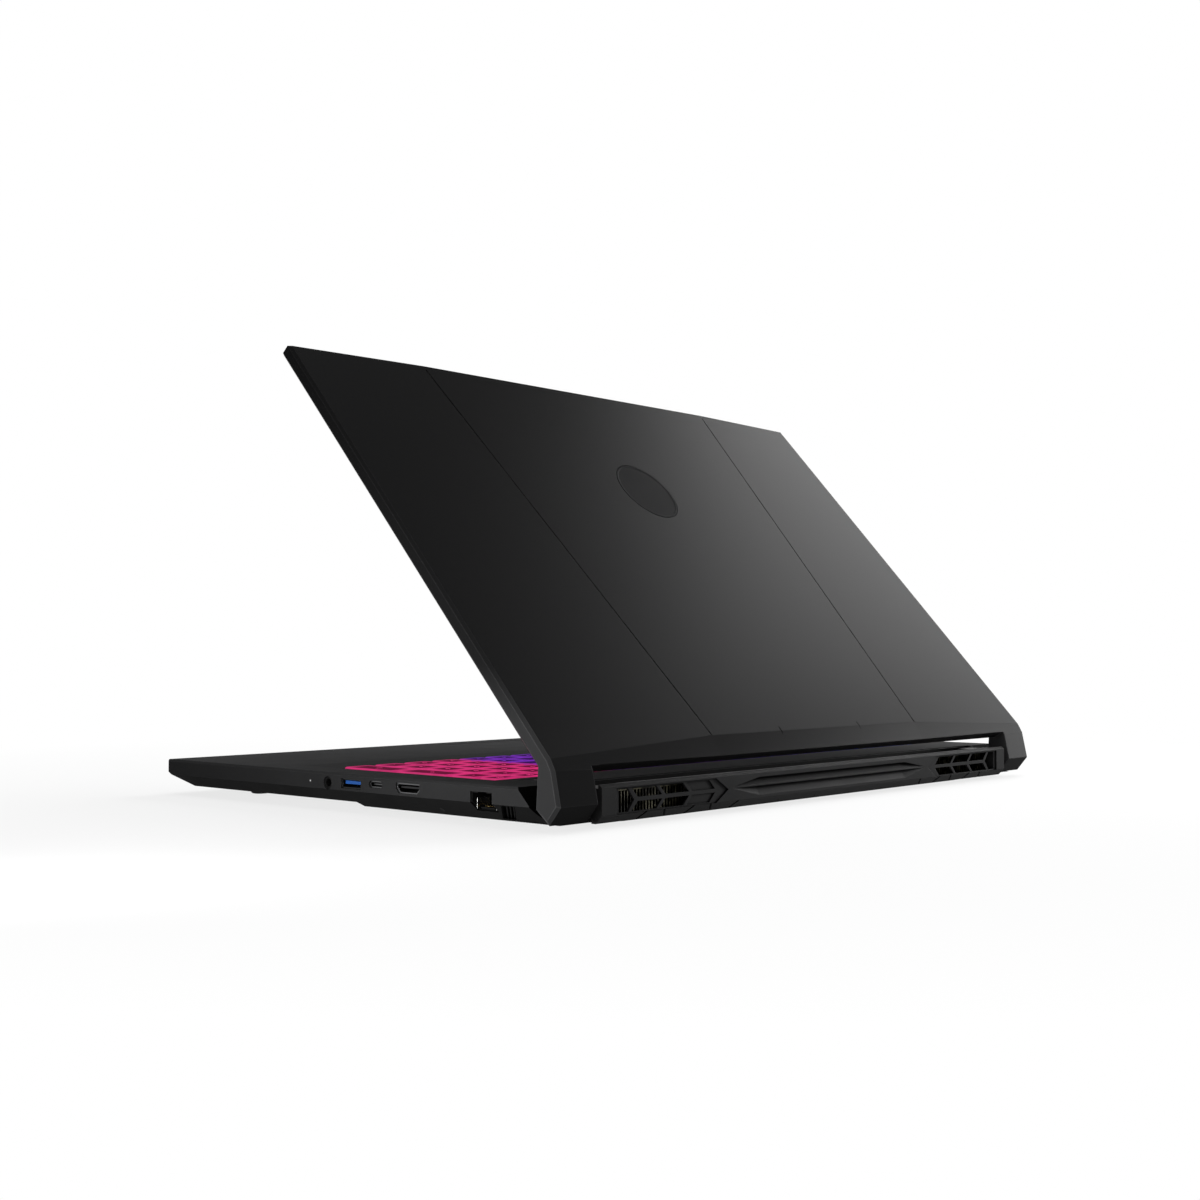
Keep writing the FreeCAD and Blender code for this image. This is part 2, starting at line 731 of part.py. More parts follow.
def lens_cut(low, high, tip):
    """A long faceted hollow with pointed ends, pressed into the rear wall between the vents."""
    half = VENT_IN - LENS_GAP
    shoulder = half * LENS_SHOULDER
    face = BASE_REAR + GROOVE_PAST
    rim = [vec(-half, face, tip), vec(-shoulder, face, high), vec(shoulder, face, high),
           vec(half, face, tip), vec(shoulder, face, low), vec(-shoulder, face, low)]
    left = vec(-shoulder, BASE_REAR - LENS_DEPTH, high - LENS_LEDGE)
    right = vec(shoulder, BASE_REAR - LENS_DEPTH, high - LENS_LEDGE)
    facets = [rim, [rim[0], rim[1], left], [rim[1], rim[2], right, left], [rim[2], rim[3], right],
              [rim[3], rim[4], right], [rim[4], rim[5], left, right], [rim[5], rim[0], left]]
    shell = Part.makeShell([Part.Face(Part.makePolygon(points + [points[0]])) for points in facets])
    return Part.makeSolid(shell)


def vent_cuts(blank_first):
    """One herringbone vent of the rear wall, on the right: its frame and the openings between its ribs."""
    middle = (VENT_LOW + VENT_HIGH) / 2.0
    tip = VENT_IN + VENT_TIP
    out = BASE_REAR + CUT
    through = BASE_REAR - VENT_THROUGH
    frame = [(VENT_IN, middle), (tip, VENT_LOW), (VENT_OUT, VENT_LOW), (VENT_OUT, VENT_HIGH),
             (tip, VENT_HIGH)]
    cuts = [prism_y(frame, BASE_REAR - VENT_FRAME_DEPTH, out)]
    end = VENT_OUT - VENT_RIB
    start = end - VENT_END
    step = (start - tip) / VENT_OPENINGS
    spine = VENT_SPINE / 2.0
    for index in range(VENT_OPENINGS):
        x0 = tip + index * step
        x1 = x0 + step - VENT_RIB
        inner = BASE_REAR - VENT_BLANK_DEPTH if blank_first and index == 0 else through
        for near, far in ((middle + spine, VENT_HIGH - VENT_EDGE), (middle - spine, VENT_LOW + VENT_EDGE)):
            outline = [(x0, near), (x1, near), (x1 + VENT_LEAN, far), (x0 + VENT_LEAN, far)]
            cuts.append(prism_y(outline, inner, out))
    outline = [(start, middle), (start + VENT_LEAN, VENT_LOW + VENT_EDGE), (end, VENT_LOW + VENT_EDGE),
               (end, VENT_HIGH - VENT_EDGE), (start + VENT_LEAN, VENT_HIGH - VENT_EDGE)]
    cuts.append(prism_y(outline, through, out))
    return cuts


def chin_notches():
    """Slanted grooves in the rear wall's lower chamfer, leaning left and right in turn."""
    low = GRILLE_LOW - CUT
    high = GRILLE_LOW + CHIN
    deep = CHIN_NOTCH_DEPTH
    band = prism_x([(BASE_REAR - CHIN - deep, GRILLE_LOW), (BASE_REAR + CHIN, low),
                    (BASE_REAR + CHIN, high), (BASE_REAR - deep, high)], -GRILLE_HALF, GRILLE_HALF)
    y0 = BASE_REAR - FAR_CUT
    y1 = BASE_REAR + FAR_CUT
    notches = []
    for index in range(CHIN_NOTCHES):
        x = VENT_IN + CHIN_FIRST + index * CHIN_PITCH
        lean = CHIN_LEAN if index % 2 else -CHIN_LEAN
        outline = [(x - lean, low), (x - lean + CHIN_NOTCH_WIDTH, low),
                   (x + lean + CHIN_NOTCH_WIDTH, high), (x + lean, high)]
        notches += both(prism_y(outline, y0, y1).common(band))
    for index in range(CHIN_TICKS):
        x = (index - (CHIN_TICKS - 1) / 2.0) * CHIN_TICK_PITCH
        notches.append(box(x, x + GROOVE_WIDTH, y0, y1, low, GRILLE_LOW + CHIN_TICK_HEIGHT).common(band))
    return notches


def rear_grille():
    """The rear wall with its vents, the trough behind the deck and the hinge housings at its ends."""
    back = BASE_REAR - GRILLE_WALL
    rise = DECK_REAR + FIT
    rail_low = GRILLE_TOP - GRILLE_RAIL
    lead = GRILLE_LEAD
    trough = [(rise, DECK_Z - FIT), (rise, TROUGH_LOW - TROUGH_WALL), (back - lead, rail_low - TROUGH_DIP),
              (back, rail_low), (BASE_REAR, rail_low), (BASE_REAR, GRILLE_TOP - RAIL_CHAMFER),
              (BASE_REAR - RAIL_CHAMFER, GRILLE_TOP), (back - lead / 2.0, GRILLE_TOP),
              (back - lead, rail_low + TROUGH_DIP),
              (rise + TROUGH_WALL, TROUGH_LOW), (rise + TROUGH_WALL, DECK_Z - FIT)]
    wall_top = GRILLE_TOP - RAIL_CHAMFER - FIT
    wall = [(back, wall_top), (back, FLOOR_TOP), (BOTTOM_REAR + FIT, FLOOR_TOP),
            (BOTTOM_REAR + FIT, GRILLE_LOW), (BASE_REAR - CHIN, GRILLE_LOW), (BASE_REAR, GRILLE_LOW + CHIN),
            (BASE_REAR, wall_top)]
    inner = GRILLE_HALF - END_BLOCK
    pocket_out = GRILLE_HALF - WALL
    front = GRILLE_FRONT - CUT
    roof = prism_x(trough, -GRILLE_HALF, GRILLE_HALF)
    roof = roof.cut(both(box(inner, GRILLE_HALF + CUT, rise - CUT, back, 0.0, DECK_Z + CUT)))
    pieces = [roof, prism_x(wall, -GRILLE_HALF, GRILLE_HALF)]
    pieces.append(box(-VENT_IN, VENT_IN, back - GRILLE_WALL, back, FLOOR_TOP, rail_low))
    block = box(inner, GRILLE_HALF, GRILLE_FRONT, back + GRILLE_WALL / 2.0, FLOOR_TOP, BLOCK_TOP)
    pocket = box(inner + WALL, pocket_out, front, back, FLOOR_TOP - CUT, BLOCK_TOP - BLOCK_ROOF)
    slot = box(pocket_out - CUT, GRILLE_HALF + CUT, front, HINGE_Y,
               HINGE_Z - SHAFT_HOLE_R, HINGE_Z + SHAFT_HOLE_R)
    round_end = rod(pocket_out - CUT, HINGE_Y, HINGE_Z, X_AXIS, SHAFT_HOLE_R, WALL + 2.0 * CUT)
    pieces += both(block.cut([pocket, slot, round_end]))
    whole = pieces[0].fuse(pieces[1:])
    cuts = [lens_cut(LENS_MIDDLE, LENS_HIGH, LENS_MIDDLE),
            lens_cut(LENS_LOW, LENS_MIDDLE - FIT, LENS_MIDDLE - FIT)]
    cuts += vent_cuts(True)
    cuts += [mirrored(cut) for cut in vent_cuts(False)]
    cuts += chin_notches()
    save("rear_grille", [whole.cut(cuts).removeSplitter()])


# Cooling


def fin_stack():
    """The right fin stack: thin plates joined by a base and a cap that rises under the trough."""
    x1 = FIN_X1 + FIN_THICK
    low = FIN_Z1 - FIN_THICK
    rear_low = FIN_REAR_Z1 - FIN_THICK
    plate = [(FIN_Y0, FIN_Z0), (FIN_Y1, FIN_Z0), (FIN_Y1, FIN_REAR_Z1), (FIN_Y0, FIN_Z1)]
    cap = [(FIN_Y0, low), (FIN_Y1, rear_low), (FIN_Y1, FIN_REAR_Z1), (FIN_Y0, FIN_Z1)]
    pieces = [box(FIN_X0, x1, FIN_Y0, FIN_Y1, FLOOR_TOP, FIN_Z0 + FIN_THICK), prism_x(cap, FIN_X0, x1)]
    for index in range(int((FIN_X1 - FIN_X0) / FIN_PITCH) + 1):
        x = FIN_X0 + index * FIN_PITCH
        pieces.append(prism_x(plate, x, x + FIN_THICK))
    return join(pieces)


def fan_housing():
    """The right fan's case: open below and towards the fins, with the rotor's pin under its top plate."""
    half = FAN_SIZE / 2.0
    well_r = FAN_R + FAN_TIP_GAP
    z0 = FLOOR_TOP + FAN_PLATE
    z1 = FAN_TOP - FAN_PLATE
    case = box(FAN_X - half, FAN_X + half, FAN_Y - half, FAN_Y + half, FLOOR_TOP, FAN_TOP)
    well = rod(FAN_X, FAN_Y, z0, Z_AXIS, well_r, z1 - z0)
    outlet = box(FAN_X - well_r, FAN_X + well_r, FAN_Y, FAN_Y + half + CUT, z0, z1)
    intake = rod(FAN_X, FAN_Y, FLOOR_TOP - CUT, Z_AXIS, FAN_INTAKE_R, FAN_PLATE + 2.0 * CUT)
    pin = rod(FAN_X, FAN_Y, z0 + FAN_HUB_GAP, Z_AXIS, FAN_PIN_R, z1 - z0 - FAN_HUB_GAP + FAN_PLATE / 2.0)
    return case.cut([well, outlet, intake]).fuse(pin).removeSplitter()


def fan_rotor():
    """The right fan's rotor: a bored hub with thin leaning blades."""
    z0 = FLOOR_TOP + FAN_PLATE + FAN_HUB_GAP
    z1 = FAN_TOP - FAN_PLATE - FAN_HUB_GAP
    hub = rod(FAN_X, FAN_Y, z0, Z_AXIS, FAN_HUB_R, z1 - z0)
    blades = []
    for index in range(FAN_BLADES):
        blade = box(FAN_HUB_R - FAN_BLADE_ROOT, FAN_R, -FAN_BLADE / 2.0, FAN_BLADE / 2.0,
                    z0 + FAN_BLADE_GAP, z1 - FAN_BLADE_GAP)
        blade.rotate(vec(FAN_HUB_R, 0, 0), Z_AXIS, FAN_BLADE_LEAN)
        blade.rotate(vec(0, 0, 0), Z_AXIS, 360.0 * index / FAN_BLADES)
        blade.translate(vec(FAN_X, FAN_Y, 0))
        blades.append(blade)
    bore = rod(FAN_X, FAN_Y, z0 - CUT, Z_AXIS, FAN_PIN_R + FAN_PIN_CLEARANCE, z1 - z0 + 2.0 * CUT)
    rim = rod(FAN_X, FAN_Y, z0, Z_AXIS, FAN_R, z1 - z0)
    return hub.fuse(blades).common(rim).cut(bore).removeSplitter()


def cooling():
    """Fans, fin stacks and heat pipes on both sides."""
    for name, make in (("fin_stack", fin_stack), ("fan_housing", fan_housing), ("fan_rotor", fan_rotor)):
        right = make()
        save(name + "_right", [right])
        save(name + "_left", [mirrored(right)])
    top = BOARD_Z - CHIP_THICK
    low = top - PIPE_THICK
    rise = box(PIPE_X, PIPE_X + PIPE_WIDTH, CHIP_Y - CHIP_SIZE / 2.0, FIN_Y0, low, top)
    run = box(PIPE_X, FIN_X1, FIN_Y0 - PIPE_WIDTH, FIN_Y0, low, top)
    save("heat_pipes", both(join([rise, run])))


# Boards and modules


def mainboard():
    """The main circuit board, with wings to the ports on both sides."""
    right = HALF - BOARD_SIDE
    inner = FAN_X - FAN_SIZE / 2.0 - BOARD_FAN_GAP
    strip = FAN_X + FAN_SIZE / 2.0 + BOARD_STRIP_GAP
    wing = FAN_Y - FAN_SIZE / 2.0 - BOARD_FAN_GAP
    ethernet_end = ETHERNET[0] + ETHERNET[1] / 2.0 + ETHERNET_MARGIN
    inlet_end = INLET_Y + INLET_MARGIN
    outline = [(-inner, BOARD_FRONT), (right, BOARD_FRONT), (right, ethernet_end), (strip, ethernet_end),
               (strip, wing), (inner, wing), (inner, BOARD_REAR), (-inner, BOARD_REAR), (-inner, wing),
               (-strip, wing), (-strip, inlet_end), (-right, inlet_end), (-right, LEFT_WING_FRONT),
               (-inner, LEFT_WING_FRONT)]
    board = prism_z(outline, BOARD_Z, BOARD_Z + BOARD_THICK)
    low = BOARD_Z - CUT
    cuts = [rod(x, y, low, Z_AXIS, SCREW_BOSS_R + FIT, BOARD_THICK + 2.0 * CUT) for x, y in screw_places()]
    cuts.append(port_block(ETHERNET, FIT, HALF - ETHERNET_DEPTH - FIT, HALF))
    save("mainboard", [board.cut(cuts)])


def boards_and_modules():
    """What hangs under the main board, and the battery and speakers in front of it."""
    mainboard()
    half = CHIP_SIZE / 2.0
    x = PIPE_X + PIPE_WIDTH / 2.0
    chips = both(box(x - half, x + half, CHIP_Y - half, CHIP_Y + half, BOARD_Z - CHIP_THICK, BOARD_Z))
    x = MEMORY_CHIP_X
    for index in range(MEMORY_CHIPS):
        y = CHIP_Y - half + index * MEMORY_CHIP_PITCH
        chips += both(box(x, x + MEMORY_CHIP_WIDTH, y, y + MEMORY_CHIP_DEPTH,
                          BOARD_Z - MEMORY_CHIP_THICK, BOARD_Z))
    save("processor_chips", chips)
    modules = []
    for index in range(2):
        high = BOARD_Z - index * MEMORY_PITCH
        modules.append(box(MEMORY_X, MEMORY_X + MEMORY_LENGTH, MEMORY_Y, MEMORY_Y + MEMORY_DEPTH,
                           high - MEMORY_THICK, high))
    save("memory_modules", modules)
    save("ssd_module", [box(SSD_X, SSD_X + SSD_LENGTH, MEMORY_Y, MEMORY_Y + SSD_DEPTH,
                            BOARD_Z - SSD_THICK, BOARD_Z)])
    save("wireless_card", [box(WIRELESS_X, WIRELESS_X + WIRELESS_LENGTH, WIRELESS_Y,
                               WIRELESS_Y + WIRELESS_DEPTH, BOARD_Z - WIRELESS_THICK, BOARD_Z)])
    cell = BATTERY_HALF * 2.0 / BATTERY_CELLS
    pack = box(-BATTERY_HALF, BATTERY_HALF, BATTERY_FRONT, BATTERY_REAR, FRONT_FLOOR_TOP, BATTERY_TOP)
    seams = []
    for index in range(1, BATTERY_CELLS):
        x = index * cell - BATTERY_HALF - BATTERY_SEAM / 2.0
        seams.append(box(x, x + BATTERY_SEAM, BATTERY_FRONT, BATTERY_REAR,
                         BATTERY_TOP - BATTERY_SEAM_DEPTH, BATTERY_TOP + CUT))
    save("battery_pack", [pack.cut(seams)])
    speaker = box(SPEAKER_X, SPEAKER_X + SPEAKER_WIDTH, BATTERY_FRONT, BATTERY_FRONT + SPEAKER_DEPTH,
                  FRONT_FLOOR_TOP, SPEAKER_TOP)
    cone = rod(SPEAKER_X + SPEAKER_WIDTH / 2.0, BATTERY_FRONT + SPEAKER_DEPTH / 2.0,
               SPEAKER_TOP - SPEAKER_CONE_DEPTH, Z_AXIS, SPEAKER_CONE_R, SPEAKER_CONE_DEPTH + CUT)
    save("speakers", both(speaker.cut(cone)))


# Keyboard, touchpad and power button


def frustum(x0, x1, y0, y1, z0, z1, taper):
    """A block whose top is smaller than its foot by a taper on each side."""
    foot = [vec(x0, y0, z0), vec(x1, y0, z0), vec(x1, y1, z0), vec(x0, y1, z0)]
    x0, x1, y0, y1 = x0 + taper, x1 - taper, y0 + taper, y1 - taper
    head = [vec(x0, y0, z1), vec(x1, y0, z1), vec(x1, y1, z1), vec(x0, y1, z1)]
    wires = [Part.makePolygon(points + [points[0]]) for points in (foot, head)]
    return Part.makeLoft(wires, True, True)


def key_cap(x0, x1, y0, y1):
    """One hollow key cap in its cell of the keyboard."""
    gap = KEY_GAP / 2.0
    x0, x1, y0, y1 = x0 + gap, x1 - gap, y0 + gap, y1 - gap
    cap = frustum(x0, x1, y0, y1, KEY_SKIRT_Z, KEY_TOP, KEY_TAPER)
    skirt = KEY_SKIRT
    return cap.cut(box(x0 + skirt, x1 - skirt, y0 + skirt, y1 - skirt, KEY_SKIRT_Z - CUT, KEY_CEILING))


def scissor(x0, x1, y0, y1):
    """The low guide frame under one key cap."""
    edge = KEY_GAP / 2.0 + KEY_SKIRT + KEY_GUIDE_FIT
    x0, x1, y0, y1 = x0 + edge, x1 - edge, y0 + edge, y1 - edge
    ring = SCISSOR_RING
    hole = box(x0 + ring, x1 - ring, y0 + ring, y1 - ring, PLATE_TOP - CUT, SCISSOR_TOP + CUT)
    return box(x0, x1, y0, y1, PLATE_TOP, SCISSOR_TOP).cut(hole)


def row_cells(row, column, widths):
    """Cells of one row, from a start column and key widths counted in pitches."""
    y0 = KEYS_FRONT + row * KEY_PITCH
    depth = FUNCTION_PITCH if row == FUNCTION_ROW else KEY_PITCH
    cells = []
    for width in widths:
        x0 = column * KEY_PITCH - KEYS_HALF
        cells.append((x0, x0 + width * KEY_PITCH, y0, y0 + depth))
        column += width
    return cells


def tall_cell(row, column):
    """A cell one pitch wide and two rows deep."""
    x0 = column * KEY_PITCH - KEYS_HALF
    y0 = KEYS_FRONT + row * KEY_PITCH
    return (x0, x0 + KEY_PITCH, y0, y0 + 2.0 * KEY_PITCH)


def key_groups():
    """Key cells by the node that holds them."""
    ones = [1.0] * KEY_COLUMNS
    return {
        "function_keys": row_cells(FUNCTION_ROW, 0, ones),
        "number_keys": row_cells(4, 0, ones[:13] + [2.0]),
        "top_letter_keys": row_cells(3, 0, [1.5] + ones[:12] + [1.5]),
        "home_row_keys": row_cells(2, 0, [1.75] + ones[:11]),
        "enter_key": row_cells(2, 12.75, [2.25]),
        "lower_letter_keys": row_cells(1, 0, [2.25] + ones[:10] + [1.75]),
        "bottom_row_keys": row_cells(0, 0, [1.25, 1.0, 1.0, 1.25]) + row_cells(0, 10, ones[:3]),
        "space_bar": row_cells(0, 4.5, [5.5]),
        "arrow_keys": row_cells(1, 14, [1.0]) + row_cells(0, 13, ones[:3]),
        "numpad_keys": (row_cells(4, 15, ones[:4]) + row_cells(3, 15, ones[:3])
                        + row_cells(2, 15, ones[:3]) + row_cells(1, 15, ones[:3])
                        + row_cells(0, 16, ones[:2]) + [tall_cell(2, 18), tall_cell(0, 18)]),
    }


def keyboard():
    """Key caps by group, their guide frames, the plate and the light guide."""
    frames = []
    for name, cells in key_groups().items():
        save(name, [key_cap(*cell) for cell in cells])
        frames += [scissor(*cell) for cell in cells]
    save("key_scissors", frames)
    x = WELL_HALF + RIM_WIDTH
    low = PLATE_TOP - PLATE_THICK
    save("keyboard_plate", [box(-x, x, WELL_FRONT - RIM_WIDTH, WELL_REAR + RIM_WIDTH, low, PLATE_TOP)])
    guide = box(-WELL_HALF, WELL_HALF, WELL_FRONT, WELL_REAR, low - GUIDE_THICK, low)
    save("keyboard_light_guide", [guide])


def touchpad():
    """The touchpad plate and the tray that carries its rear edge."""
    x0 = PAD_X - PAD_WIDTH / 2.0
    x1 = PAD_X + PAD_WIDTH / 2.0
    low = PAD_TOP - PAD_THICK
    save("touchpad", [box(x0, x1, PAD_FRONT, PAD_REAR, low, PAD_TOP)])
    edge = TRAY_MARGIN
    tray = box(x0 - edge, x1 + edge, PAD_FRONT - edge, PAD_REAR + edge, TRAY_LOW, DECK_UNDER)
    edge = TRAY_MARGIN - TRAY_WALL
    room = box(x0 - edge, x1 + edge, PAD_FRONT - edge, PAD_REAR + edge, TRAY_LOW + TRAY_FLOOR, DECK_Z)
    bearer = box(x0 + TRAY_MARGIN, x1 - TRAY_MARGIN, PAD_REAR - TRAY_BEARER, PAD_REAR,
                 TRAY_LOW, low - PAD_SEAT)
    save("touchpad_bracket", [tray.cut(room).fuse(bearer).removeSplitter()])


def power_button():
    """The power button with its flange, and the switch board that hangs under it."""
    half_x = BUTTON_WIDTH / 2.0
    half_y = BUTTON_DEPTH / 2.0
    high = DECK_UNDER - PAD_SEAT
    low = high - BUTTON_FLANGE
    cap = frustum(BUTTON_X - half_x, BUTTON_X + half_x, BUTTON_Y - half_y, BUTTON_Y + half_y,
                  low, KEY_TOP, FIT)
    x = half_x + BUTTON_FLANGE_WIDTH
    y = half_y + BUTTON_FLANGE_WIDTH
    flange = box(BUTTON_X - x, BUTTON_X + x, BUTTON_Y - y, BUTTON_Y + y, low, high)
    save("power_button", [cap.fuse(flange).removeSplitter()])
    top = low - BUTTON_TRAVEL - BUTTON_STOP
    x = half_x + SWITCH_BOARD_MARGIN[0]
    y = half_y + SWITCH_BOARD_MARGIN[1]
    board_low = top - SWITCH_BOARD_DROP
    pieces = [box(BUTTON_X - x, BUTTON_X + x, BUTTON_Y - y, BUTTON_Y + y,
                  board_low, board_low + SWITCH_BOARD)]
    for sign in (-1, 1):
        post_x = BUTTON_X + sign * (x - SWITCH_POST_IN)
        pieces.append(rod(post_x, BUTTON_Y, board_low, Z_AXIS, SWITCH_POST_R, DECK_UNDER - board_low))
    x = SWITCH_SIZE[0] / 2.0
    y = SWITCH_SIZE[1] / 2.0
    pieces.append(box(BUTTON_X - x, BUTTON_X + x, BUTTON_Y - y, BUTTON_Y + y, top - SWITCH_HEIGHT, top))
    save("power_switch_board", [join(pieces)])


# Ports


def socket(port, depth):
    """A metal socket in the right side wall, open to the side."""
    shell = port_block(port, 0.0, HALF - depth, HALF - PORT_INSET)
    return shell.cut(port_block(port, -SOCKET_WALL, HALF - depth + PORT_BACK, HALF))


def tongue(port, depth, sizes):
    """The contact tongue inside a socket."""
    drop, thick, margin = sizes
    middle, width, low, high, shape = port
    half = width / 2.0 - margin
    return box(HALF - depth + PORT_BACK, HALF - PORT_INSET - TONGUE_INSET, middle - half, middle + half,
               high - drop - thick, high - drop)


def ports():
    """The ports of both sides and the status light."""
    wall_in = HALF - DECK_WALL
    board_top = BOARD_Z + BOARD_THICK
    half = JACK_BODY / 2.0
    tube_length = TUBE_OVERLAP + DECK_WALL - PORT_INSET
    body = box(HALF - SOCKET_DEPTH, wall_in - FIT, JACK_Y - half, JACK_Y + half,
               board_top, DECK_UNDER - FIT)
    tube = rod(wall_in - TUBE_OVERLAP, JACK_Y, JACK_Z, X_AXIS, JACK_R, tube_length)
    bore = rod(HALF - SOCKET_DEPTH + CUT, JACK_Y, JACK_Z, X_AXIS, JACK_BORE_R, SOCKET_DEPTH)
    save("audio_jack", [body.fuse(tube).cut(bore).removeSplitter()])
    light = rod(wall_in - TUBE_OVERLAP, LED_Y, LED_Z, X_AXIS, LED_R, TUBE_OVERLAP + DECK_WALL)
    save("status_light", [light])
    left = [(middle,) + USB_A[1:] for middle in USB_A_LEFT]
    save("usb_a_port_right", [socket(USB_A, SOCKET_DEPTH)])
    save("usb_a_ports_left", [mirrored(socket(port, SOCKET_DEPTH)) for port in left])
    inserts = [tongue(USB_A, SOCKET_DEPTH, USB_A_TONGUE)]
    inserts += [mirrored(tongue(port, SOCKET_DEPTH, USB_A_TONGUE)) for port in left]
    save("usb_a_inserts", inserts)
    for name, port, sizes in (("usb_c_port", USB_C, USB_C_TONGUE), ("hdmi_port", HDMI, HDMI_TONGUE)):
        save(name, [join([socket(port, SOCKET_DEPTH), tongue(port, SOCKET_DEPTH, sizes)])])
    ethernet_port()
    half = INLET_BODY / 2.0
    back = DECK_WALL + FIT - HALF
    block = box(back, back + SOCKET_DEPTH, INLET_Y - half, INLET_Y + half, board_top, DECK_UNDER - FIT)
    nose = rod(PORT_INSET - HALF, INLET_Y, INLET_Z, X_AXIS, INLET_R, tube_length + FIT)
    hollow = rod(-HALF, INLET_Y, INLET_Z, X_AXIS, INLET_BORE_R, SOCKET_DEPTH - PORT_BACK)
    pin = rod(PORT_INSET + TONGUE_INSET - HALF, INLET_Y, INLET_Z, X_AXIS, INLET_PIN_R, SOCKET_DEPTH)
    save("power_inlet", [block.fuse(nose).cut(hollow).fuse(pin).removeSplitter()])


def ethernet_port():
    """The network socket, with its latch room, trimmed to the slope of the side wall."""
    middle, width, low, high, shape = ETHERNET
    slope = inset([(0.0, FLOOR_Z), (HALF - SIDE_TAPER, FLOOR_Z), (HALF, SEAM_Z), (HALF, DECK_Z),
                   (0.0, DECK_Z)], PORT_INSET)
    envelope = prism_y(slope, middle - width, middle + width)
    half = LATCH_WIDTH / 2.0
    latch = box(HALF - ETHERNET_DEPTH + PORT_BACK, HALF, middle - half, middle + half,
                high - LATCH_HEIGHT, high + CUT)
    body = socket(ETHERNET, ETHERNET_DEPTH).cut(latch)
    contacts = tongue(ETHERNET, ETHERNET_DEPTH, ETHERNET_TONGUE)
    save("ethernet_port", [body.fuse(contacts).common(envelope).removeSplitter()])


# Hinges, screws and feet


def hinge_bracket():
    """The right hinge's base half: a foot under the deck, an arm and a bored barrel."""
    x1 = GRILLE_HALF - WALL - FIT
    x0 = x1 - BARREL_LENGTH
    low = DECK_UNDER - HINGE_FOOT_THICK
    foot = box(x1 - HINGE_FOOT, x1, HINGE_FOOT_FRONT, HINGE_FOOT_REAR, low, DECK_UNDER)
    arm = box(x0, x1, HINGE_FOOT_REAR - HINGE_ARM_LAP, HINGE_Y,
              HINGE_Z - HINGE_ARM_DROP, low + HINGE_ARM_RISE)
    barrel = rod(x0, HINGE_Y, HINGE_Z, X_AXIS, BARREL_R, BARREL_LENGTH)
    bore = rod(x0 - CUT, HINGE_Y, HINGE_Z, X_AXIS, SHAFT_R + SHAFT_CLEARANCE, BARREL_LENGTH + 2.0 * CUT)
    holes = [rod(x, y, low - CUT, Z_AXIS, SCREW_R + SCREW_CLEARANCE, HINGE_FOOT_THICK + CUT)
             for x, y in HINGE_SCREWS]
    return join([foot, arm, barrel]).cut([bore] + holes)


def hinges_and_fasteners():
    """Hinge brackets, every screw and the rubber feet."""
    bracket = hinge_bracket()
    save("hinge_bracket_right", [bracket])
    save("hinge_bracket_left", [mirrored(bracket)])
    screws = []
    plate_low = DECK_UNDER - HINGE_FOOT_THICK
    shank_length = HINGE_FOOT_THICK + HINGE_SCREW_GRIP - HINGE_SCREW_TIP_GAP
    for x, y in HINGE_SCREWS:
        head = rod(x, y, plate_low - SCREW_HEAD, Z_AXIS, HINGE_SCREW_HEAD_R, SCREW_HEAD)
        shank = rod(x, y, plate_low, Z_AXIS, SCREW_R, shank_length)
        screws += both(join([head, shank]))
    save("hinge_screws", screws)
    save("bottom_screws", [bottom_screw(x, y) for x, y in screw_places()])
    rear = prism_z(foot_outline(0.0, REAR_FOOT_Y, REAR_FOOT), 0.0, FLOOR_Z)
    front = prism_z(foot_outline(FRONT_FOOT_X, FRONT_FOOT_Y, FRONT_FOOT), 0.0, FRONT_FLOOR_Z)
    save("rubber_feet", [rear] + both(front))


def bottom_screw(x, y):
    """One screw of the bottom cover, with a cross in its sunk head."""
    low = floor_at(y)[0]
    head = rod(x, y, low, Z_AXIS, SCREW_HEAD_R, SCREW_HEAD)
    shank = rod(x, y, low + SCREW_HEAD, Z_AXIS, SCREW_R, WALL - SCREW_HEAD + SCREW_LENGTH - SCREW_TIP_GAP)
    long = DRIVER_LENGTH / 2.0
    short = DRIVER_WIDTH / 2.0
    cross = [box(x - a, x + a, y - b, y + b, low - CUT, low + DRIVER_DEPTH)
             for a, b in ((long, short), (short, long))]
    return join([head, shank]).cut(cross)


def foot_outline(x, y, length):
    """Plan outline of a foot with cut corners."""
    half_x = length / 2.0
    half_y = FOOT_DEPTH / 2.0
    cut = FOOT_CORNER
    return [(x - half_x + cut, y - half_y), (x + half_x - cut, y - half_y), (x + half_x, y - half_y + cut),
            (x + half_x, y + half_y - cut), (x + half_x - cut, y + half_y), (x - half_x + cut, y + half_y),
            (x - half_x, y + half_y - cut), (x - half_x, y - half_y + cut)]


# Lid, drawn closed and turned to the rest angle when it is written


def leg_point(offset):
    """A point of the leg's outline, given from the hinge line."""
    return (HINGE_Y + offset[0], HINGE_Z + offset[1])


def leg_side():
    """Side outline of the lid with a leg at its rear."""
    chamfer = LID_EDGE_CHAMFER
    return [(LID_FRONT, LID_Z0), (HINGE_Y + LEG_THROAT_Y, LID_Z0), leg_point(LEG_HEEL), leg_point(LEG_TIP),
            leg_point(LEG_BACK), leg_point(LEG_SHOULDER), (LID_CREASE_SIDE_Y, LID_Z1),
            (LID_FRONT + chamfer, LID_Z1), (LID_FRONT, LID_Z1 - chamfer)]


def plate_side():
    """Side outline of the lid between its legs."""
    chamfer = LID_EDGE_CHAMFER
    return [(LID_FRONT, LID_Z0), (LID_REAR - LID_REAR_LEAN, LID_Z0), (LID_REAR, LID_Z1),
            (LID_FRONT + chamfer, LID_Z1), (LID_FRONT, LID_Z1 - chamfer)]


